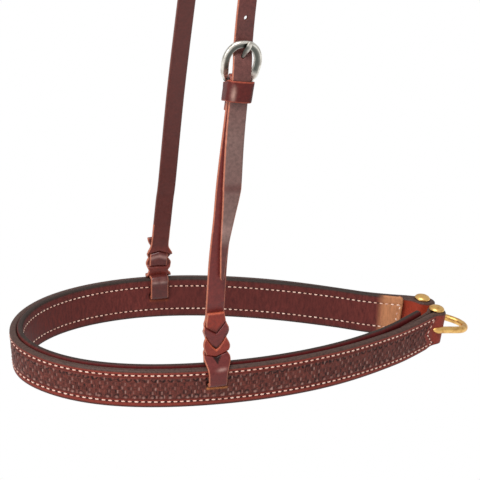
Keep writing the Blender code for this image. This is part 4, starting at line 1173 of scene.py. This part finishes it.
def crown_piece():
    """Long strap from the far plait over the poll to the point of the billet."""
    place = hanger_frame(1)
    lower, inside, bent = plaited_way(1)
    heights = [p[1] for p in lower]
    line = [place(*p) for p in lower]
    count = len(line)
    full = through([line[-1], *[leg_point(s, 1) for s in far_leg], *arch_over_poll(),
                    *[leg_point(s, -1) for s in upper_near], *[heel(*p) for p in buckle_pass],
                    *billet_points()], row_step)
    line = line + list(full[1:])
    whole = np.array(line)
    run = run_along(whole)
    left = run[-1] - run
    halves = []
    for i in range(len(line)):
        taper = np.clip(left[i] / (billet_length - billet_taper_start), 0, 1)
        half = billet_tip + (strap_width / 2 - billet_tip) * taper ** 1.3
        if left[i] < billet_tip:
            half = half * math.sqrt(max(0.30, 1 - (1 - left[i] / billet_tip) ** 2))
        halves.append([plaited_half(1, heights[i], i, inside, bent, hand) if i < count else half
                       for hand in (0, 1)])
    level_way = np.array([1.0, 0.0, 0.0])
    turned = ease((run - run[count]) / 0.30)
    ways = [hanger_way(1) * (1 - share) + level_way * share for share in turned]

    # The cut edges are drawn at full strength in the plait, along the near leg's left edge and
    # near the point. Elsewhere they are faint, and on the far leg that faintness is painted shade.
    def raw_edge(i, u):
        if i < count:
            return 1.0
        if line[i][1] > -0.02 or left[i] > 0.40:
            return 0.12
        return 1.0 if u < 0 or left[i] < 0.066 else 0.15

    piece = strap_piece("crown_piece", line, halves, ways, 1,
                        lambda i, u: plait_lift(heights[i], u, 1) if i < count else 0.0,
                        plait_finish(1, heights, inside), raw_edge)
    # Painted sheen: a pale grey veil that stands in for reflected light on the billet and the
    # upper far leg.
    painted_sheen = piece.data.attributes.new("painted_sheen", "FLOAT", "POINT")
    ring = len(piece.data.vertices) // len(line)
    fade = np.interp(left, *np.array(billet_sheen).T)
    fade += 0.30 * (whole[:, 1] > 0) * ease((whole[:, 2] + 0.42) / 0.15)
    painted_sheen.data.foreach_set("value", np.repeat(fade, ring).astype(np.float32))
    pale = piece.data.attributes["worn"]
    worn = np.empty(len(piece.data.vertices), np.float32)
    pale.data.foreach_get("value", worn)
    # Painted highlight across the billet, about 35 mm above its point.
    worn += np.repeat(0.30 * pulse(left - 0.0345, 0.0045), ring).astype(np.float32)
    pale.data.foreach_set("value", worn)
    piece.data.materials.append(crown_leather)
    punch_holes(piece, whole[count:], raw_leather)
    return piece


crown_leather = leather(
    "crown_brown_leather", tone(106, 46, 41), tone(78, 31, 28), 0.42,
    (("painted_sheen", tone(142, 114, 107), 0.90, 0.55), *strap_colour_layers), mottle=420.0, coat=0.22)
raw_leather = leather("raw_punched_edge", tone(120, 66, 48), tone(80, 38, 28), 0.8, ())
crown = crown_piece()
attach(crown, "noseband")
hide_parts("crown_strap")


# The buckle is cast and finished in antique nickel. Its round heel bar sits in the fold of the
# cheek strap, and its flat bow has a bright bevel outside and a slope inside. The inner slope and
# the back of the bow are painted dark as painted reflection and shade, and the heel bar as painted
# shade in the fold.
frame_face, frame_thickness, frame_height, frame_half_width = 0.0053, 0.0034, 0.0258, 0.0108
frame_tilt, heel_bar_reach = math.radians(13.0), 0.0084
frame_outline = ((0.785, 0.0), (0.862, 0.10), (0.945, 0.26), (1.0, 0.50),
                 (0.930, 0.70), (0.720, 0.865), (0.390, 0.968), (0.0, 1.0))
tongue_width, tongue_thickness = 0.0026, 0.0018
tongue_line = ((0.0010, -0.0026), (-0.0012, -0.0027), (-0.0026, -0.0012), (-0.0027, 0.0010),
               (-0.0014, 0.0027), (0.0004, 0.0034), (0.0009, 0.0062), (0.0006, 0.0100),
               (0.0014, 0.0130), (0.0034, 0.0160), (0.0054, 0.0192), (0.0077, 0.0224),
               (0.0090, 0.0252), (0.0092, 0.0270))
tongue_lean = 0.0021


def soften(piece):
    """Rounds a piece off with one step of subdivision."""
    pick(piece)
    step = piece.modifiers.new("rounding", "SUBSURF")
    step.levels = step.render_levels = 1
    bpy.ops.object.modifier_apply(modifier="rounding")
    return piece


def buckle_bow():
    """Frame of the buckle: round heel bar and flat bevelled bow."""
    half = through([(u * frame_half_width, v * frame_height) for u, v in frame_outline],
                   frame_height * 0.045)
    heel_half = [(u, 0.0) for u in np.linspace(0, heel_bar_reach * 0.86, 5)]
    right_side = heel_half + [tuple(p) for p in half]
    line = np.array(right_side + [(-u, v) for u, v in right_side[1:-1][::-1]])
    along = tangents(line, closed=True)
    # The third number of each section row sets how dark that part of the bow is painted: painted
    # reflection on the inner slope, painted shade on the back.
    section = ((-1.0, -0.50, 0.7), (-1.0, 0.12, 0.1), (-0.92, 0.38, 0.0), (-0.74, 0.36, 1.0),
               (-0.10, 0.64, 1.0), (0.34, 0.90, 0.8), (0.50, 0.98, 0.0), (0.72, 0.92, 0.0),
               (0.94, 0.55, 0.0), (1.0, 0.0, 0.1), (0.96, -0.60, 0.4), (0.55, -1.0, 0.7),
               (-0.55, -1.0, 0.7), (-0.90, -0.80, 0.7))
    points, dark = [], []
    for (u, v), way in zip(line, along):
        side_out = np.array([way[1], -way[0]])
        grown = ease((v - heel_bar_radius * 0.2) / (frame_height * 0.20))
        wide = heel_bar_radius + (frame_face / 2 - heel_bar_radius) * grown
        thick = heel_bar_radius + (frame_thickness / 2 - heel_bar_radius) * grown
        for a, b, shade in section:
            angle = math.atan2(b, a)
            # The heel bar is painted dark as painted shade in the fold of the strap.
            bar = 1 - ease((v / frame_height - 0.02) / 0.05)
            dark.append(max(bar, shade * ease((v / frame_height - 0.20) / 0.14)))
            a = math.cos(angle) * (1 - grown) + a * grown
            b = math.sin(angle) * (1 - grown) + b * grown
            x, y, z = (u + side_out[0] * a * wide, v + side_out[1] * a * wide, b * thick)
            points.append(heel(x, y * math.cos(frame_tilt) - z * math.sin(frame_tilt),
                               y * math.sin(frame_tilt) + z * math.cos(frame_tilt)))
    piece = new_piece("buckle_bow", points, skin_faces(len(line), len(section), closed=True),
                      {"dark": dark})
    return soften(piece)


def buckle_pin():
    """Tongue: curled round the heel bar, through the strap, resting on the bow."""
    line = through(tongue_line, tongue_thickness * 0.5)
    along = tangents(line)
    points, dark = [], []
    for i, ((o, v), (ao, av)) in enumerate(zip(line, along)):
        share = i / (len(line) - 1)
        wide = tongue_width / 2 * (1 - 0.20 * pulse(share - 0.63, 0.06)
                                   + 0.45 * ease((share - 0.66) / 0.18)
                                   - 0.45 * ease((share - 0.92) / 0.08))
        aside = tongue_lean * ease((v - 0.0150) / 0.0120)
        thick = tongue_thickness / 2 * (1.0 - 0.25 * ease((share - 0.86) / 0.14))
        for turn in np.linspace(0, 2 * math.pi, 12, endpoint=False):
            a, b = math.cos(turn), math.sin(turn)
            a, b = np.sign(a) * abs(a) ** 0.7, np.sign(b) * abs(b) ** 0.7
            points.append(heel(aside + a * wide, v - ao * b * thick, o + av * b * thick))
            # Painted shade along the tongue's left flank.
            dark.append(ease((0.25 - a) / 0.4) * ease((0.96 - share) / 0.05))
    return new_piece("buckle_pin", points, skin_faces(len(line), 12), {"dark": dark})


def metal(name, bright, dark, rough, tarnish, scratch, painted_shade=None):
    """Cast or drawn metal with uneven tarnish and fine wear marks, painted dark where its mesh's
    dark mask lies, as painted shade and reflection.
    """
    made, tree, shader = new_material(name, Metallic=1.0)
    place = node(tree, "TexCoord").outputs["Object"]
    stain = node(tree, "TexNoise", {"Vector": place, "Scale": 240.0, "Detail": 6.0}).outputs["Fac"]
    spread = node(tree, "MapRange", {"Value": stain, "From Min": 0.5 - tarnish, "From Max": 0.72})
    colour = blend(tree, bright, dark, spread.outputs["Result"])
    if painted_shade:
        colour = blend(tree, colour, painted_shade, mask_of(tree, "dark"))
    plug(tree, shader.inputs["Base Color"], colour)
    gloss = node(tree, "MapRange", {"Value": stain, "To Min": rough, "To Max": rough + 0.22})
    plug(tree, shader.inputs["Roughness"], gloss.outputs["Result"])
    fine = node(tree, "TexNoise", {"Vector": place, "Scale": 1500.0, "Detail": 3.0})
    emboss(tree, shader, fine.outputs["Fac"], scratch, 0.00004)
    return made


antique_nickel = metal("antique_nickel_cast", tone(244, 240, 230), tone(196, 190, 180), 0.26, 0.06,
                       0.3, painted_shade=tone(98, 100, 94))
buckle_piece = buckle_bow()
pin_piece = buckle_pin()
for piece, cad_node, body in ((buckle_piece, "buckle_frame", "buckle"),
                              (pin_piece, "buckle_tongue", "tongue")):
    piece.data.materials.append(antique_nickel)
    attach(piece, body)
    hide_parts(cad_node)


# The keeper is a loose loop of thin leather, wrapped round the billet and the cheek strap. Its cut
# edges stay orange, and its bulging front carries a painted highlight along one line near its left
# corner.
keeper_width, keeper_thickness, keeper_drop = 0.0121, 0.0018, -0.0020
keeper_inner_width, keeper_corner, keeper_front_corner = 0.0146, 0.0024, 0.0040
keeper_bulge, keeper_front_lift, keeper_front_more = 0.0010, 0.0014, 0.0020


def keeper_piece():
    """Leather loop with rounded corners."""
    middle_drop = keeper_drop + heel_bar_radius + strap_thickness + keeper_width / 2
    passing = np.array([p[1:] for p in buckle_pass[::-1]])
    wall = strap_thickness / 2 + fit_gap
    wide = keeper_inner_width / 2
    shift = billet_side[0] * 0.35
    spots = []
    for side_u, side_o, start in ((1, 1, 0), (-1, 1, 90), (-1, -1, 180), (1, -1, 270)):
        corner = keeper_front_corner if side_o > 0 else keeper_corner
        for turn in (0, 15, 30, 45, 60, 75, 90):
            angle = math.radians(start + turn)
            spots.append((side_u * (wide + keeper_thickness - corner), side_o, corner,
                          math.cos(angle), math.sin(angle)))
        if side_u > 0 and side_o > 0:
            spots += [(u * wide, 1, keeper_front_corner, 0.0, 1.0)
                      for u in (0.3, 0.1, -0.1, -0.25, -0.35, -0.45)]
    outline = ((0.0, -0.42), (0.0, -0.2), (0.0, 0.0), (0.0, 0.2), (0.0, 0.42), (0.05, 0.475),
               (0.20, 0.5), (0.80, 0.5), (0.95, 0.475), (1.0, 0.42), (1.0, 0.0), (1.0, -0.42),
               (0.95, -0.475), (0.80, -0.5), (0.20, -0.5), (0.05, -0.475))
    points, edge, flesh, painted_shine = [], [], [], []
    for u, side_o, corner, nu, no in spots:
        for a, b in outline:
            drop = middle_drop - b * keeper_width
            front = np.interp(-drop, passing[:, 0], passing[:, 1]) + wall
            back = -fold_out(drop) - wall
            deep = (front - back) / 2 + keeper_thickness - corner
            reach = corner - a * keeper_thickness
            across = u + nu * reach
            bulge = keeper_bulge * (1 - (across / (wide + keeper_thickness)) ** 2) * (side_o > 0)
            forward = side_o * deep + no * reach
            raised = ease((forward + 0.003) / 0.007)
            lifted = raised * (keeper_front_lift + keeper_front_more * (b + 0.5))
            points.append(heel(shift + across, -middle_drop + b * keeper_width + lifted,
                               (front + back) / 2 + forward + bulge))
            edge.append(1.0 if abs(b) > 0.44 else 0.0)
            flesh.append(1.0 if a > 0.97 else 0.0)
            # Painted highlight along the left corner of the front.
            painted_shine.append(float(pulse(across + 0.0052, 0.0014)) * (side_o > 0) * (a < 0.1)
                          * math.exp(-((b + 0.12) / 0.34) ** 4))
    return new_piece("keeper_strap", points, skin_faces(len(spots), len(outline), closed=True),
                     {"edge": edge, "flesh": flesh, "painted_shine": painted_shine})


keeper_strap = keeper_piece()
keeper_leather = leather("keeper_oxblood_leather", tone(104, 41, 37), tone(76, 28, 26), 0.46,
                         (("flesh", tone(94, 40, 34), 0.9, 0.7),
                          ("painted_shine", tone(204, 164, 150), 0.80, 0.7),
                          ("edge", tone(176, 84, 64), 0.85, 0.6)), mottle=420.0, shine=0.2)
keeper_strap.data.materials.append(keeper_leather)
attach(keeper_strap, "keeper")
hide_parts("keeper_loop")


# A solid brass bow joins the two ends of the band and takes the tie-down. It is one thick wire
# with an eye at each end, held in the folds by two screw posts with domed heads.
post_radius, dome_radius, dome_height, dome_rim, dome_cut = 0.0020, 0.0055, 0.0031, 0.0006, 0.2
foot_radius, foot_height = 0.0040, 0.0011
bow_wire, bow_eye_gap, bow_reach, bow_rise = 0.0025, 0.0002, 0.0318, 0.0004
bow_droop = math.radians(8.0)
bow_outline = ((1.105, -0.060), (1.110, 0.03), (1.085, 0.12), (1.045, 0.21), (0.980, 0.34),
               (0.925, 0.48), (0.850, 0.63), (0.735, 0.77), (0.525, 0.89),
               (0.275, 0.970), (0.0, 1.0))


def post_centre(side):
    """Middle of a screw post."""
    return band_place(0.0 if side < 0 else band_total, 0.0, -outer_drop)[0]


def brass_bow():
    """Bow of round wire with its two eyes."""
    eye_radius = post_radius + bow_eye_gap + bow_wire
    eyes = [post_centre(side) + end_up * bow_rise for side in (1, -1)]
    middle = (eyes[0] + eyes[1]) / 2
    across = unit(eyes[0] - eyes[1])
    forward = unit(np.cross(across, end_up))
    half_gap = np.linalg.norm(eyes[0] - eyes[1]) / 2

    def place(f, a, h):
        drop = math.tan(bow_droop) * max(0.0, f - bow_wire)
        return middle + forward * f + across * a + end_up * (h - drop)
    half = through([(v * bow_reach, u * (half_gap + eye_radius)) for u, v in bow_outline],
                   bow_wire * 0.4)
    line = np.vstack([half, (half[:-1] * (1, -1))[::-1]])
    along = tangents(line)
    caps = np.radians((80, 62, 44, 26, 12))
    rings = [(line[0] - along[0] * bow_wire * math.sin(t), along[0], math.cos(t)) for t in caps]
    rings += [(spot, way, 1.0) for spot, way in zip(line, along)]
    rings += [(line[-1] + along[-1] * bow_wire * math.sin(t), along[-1], math.cos(t))
              for t in caps[::-1]]
    points = []
    for (f, a), way, share in rings:
        drawn = 0.66 + 0.34 * ease((f + 0.0045) / 0.0055)
        side_way = np.array([way[1], -way[0]]) * bow_wire * share * drawn
        for t in np.linspace(0, 2 * math.pi, 24, endpoint=False):
            points.append(place(f + side_way[0] * math.cos(t), a + side_way[1] * math.cos(t),
                                bow_wire * (share * drawn * math.sin(t) + 0.7 * (1 - drawn))))
    faces = skin_faces(len(rings), 24)
    for sign in (1, -1):
        base, eye = len(points), []
        for turn in np.linspace(0, 2 * math.pi, 48, endpoint=False):
            for t in np.linspace(0, 2 * math.pi, 24, endpoint=False):
                radius = eye_radius + bow_wire * math.cos(t)
                eye.append(place(radius * math.cos(turn), sign * half_gap
                                 + radius * math.sin(turn), bow_wire * math.sin(t)))
        points += eye
        faces += [tuple(base + k for k in f) for f in skin_faces(48, 24, closed=True)]
    return new_piece("brass_bow", points, faces)


def domed_head(name, side, base, sign, height, radius):
    """Domed head of a screw or foot of a post, turned about the post's axis."""
    bpy.ops.object.select_all(action="DESELECT")
    bpy.ops.mesh.primitive_uv_sphere_add(segments=48, ring_count=24, radius=1.0)
    head = bpy.context.object
    head.name = name
    points = points_of(head.data)
    high = np.clip(points[:, 2], -dome_cut, 1.0)
    lifted = np.where(high > 0, dome_rim + (height - dome_rim) * high,
                      dome_rim * (1 + high / dome_cut))
    flat = np.hypot(points[:, 0], points[:, 1])
    spread = np.where(points[:, 2] < -dome_cut, flat / math.sqrt(1 - dome_cut ** 2) * 0.97,
                      np.sqrt(1 - np.clip(points[:, 2], 0, 1) ** 2)) * radius
    ways = points[:, :2] * (spread / np.maximum(flat, 1e-9))[:, None]
    forward = np.array([math.cos(end_tilt), 0.0, -math.sin(end_tilt)])
    placed = (post_centre(side) + ways[:, :1] * forward + ways[:, 1:] * np.array([0.0, 1.0, 0.0])
              + end_up * (base + sign * lifted)[:, None])
    head.data.vertices.foreach_set("co", placed.ravel())
    return face_outward(head)


solid_brass = metal("solid_brass_polished", tone(250, 204, 126), tone(206, 150, 80), 0.30, 0.04,
                    0.15)
bow_piece = brass_bow()
bow_piece.data.materials.append(solid_brass)
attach(bow_piece, "noseband")
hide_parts("tie_down_bow")
head_edge = outer_height / 2 + fit_gap
for side, label in ((-1, "near"), (1, "far")):
    for part, sign, height in (("screw", 1, dome_height), ("post", -1, foot_height)):
        base = head_edge if sign > 0 else -head_edge + corner_lift
        head = domed_head(label + "_" + part + "_head", side, base, sign, height,
                          dome_radius if sign > 0 else foot_radius)
        head.data.materials.append(solid_brass)
        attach(head, "noseband")
        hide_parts(label + "_pin_" + part)


# White sweep and soft light of a catalogue picture: one large soft lamp above and in front,
# a weaker one from the left, and an even white room that metal and floor show as white.
bpy.ops.object.select_all(action="DESELECT")
bpy.ops.mesh.primitive_plane_add(size=14.0, location=(0.0, 0.0, -1.15))
floor = bpy.context.object
floor.name = "floor"
floor_paint, tree, shader = new_material("white_floor", Roughness=0.9)
grit = node(tree, "TexNoise", {"Scale": 30.0})
plug(tree, shader.inputs["Base Color"], blend(tree, (0.90, 0.90, 0.90, 1.0),
                                              (0.93, 0.93, 0.93, 1.0), grit.outputs["Fac"]))
paths = node(tree, "LightPath").outputs
seen = node(tree, "Math", {0: paths["Is Camera Ray"], 1: paths["Is Glossy Ray"]},
            operation="MAXIMUM")
mixed = node(tree, "MixShader", {"Fac": seen.outputs[0], 1: shader.outputs[0],
                                 2: node(tree, "Emission").outputs[0]})
plug(tree, tree.nodes["Material Output"].inputs["Surface"], mixed.outputs[0])
floor.data.materials.append(floor_paint)

room = bpy.data.worlds.new("room")
room.use_nodes = True
tree = room.node_tree
white = (1.0, 1.0, 1.0, 1.0)
plain, bright = (node(tree, "Background", {"Color": white, "Strength": strength})
                 for strength in (0.55, 1.0))
mixed = node(tree, "MixShader", {"Fac": node(tree, "LightPath").outputs["Is Camera Ray"],
                                 1: plain.outputs[0], 2: bright.outputs[0]})
plug(tree, tree.nodes["World Output"].inputs["Surface"], mixed.outputs[0])
bpy.context.scene.world = room


def soft_lamp(name, place, size, power):
    """Square soft lamp turned to the middle of the part."""
    light = bpy.data.lights.new(name, "AREA")
    light.size = size
    light.energy = power
    back = unit(np.array(place) - np.array((0.0, 0.0, -0.45)))
    side_way = unit(np.cross((0.0, 0.0, 1.0), back))
    set_up(bpy.data.objects.new(name, light), side_way, np.cross(back, side_way), back, place)


soft_lamp("lamp_above", (-0.5, -0.7, 1.2), 0.7, 22.0)
soft_lamp("lamp_left", (-1.6, -0.9, 0.2), 1.0, 9.0)
bpy.context.scene.view_settings.view_transform = "Standard"
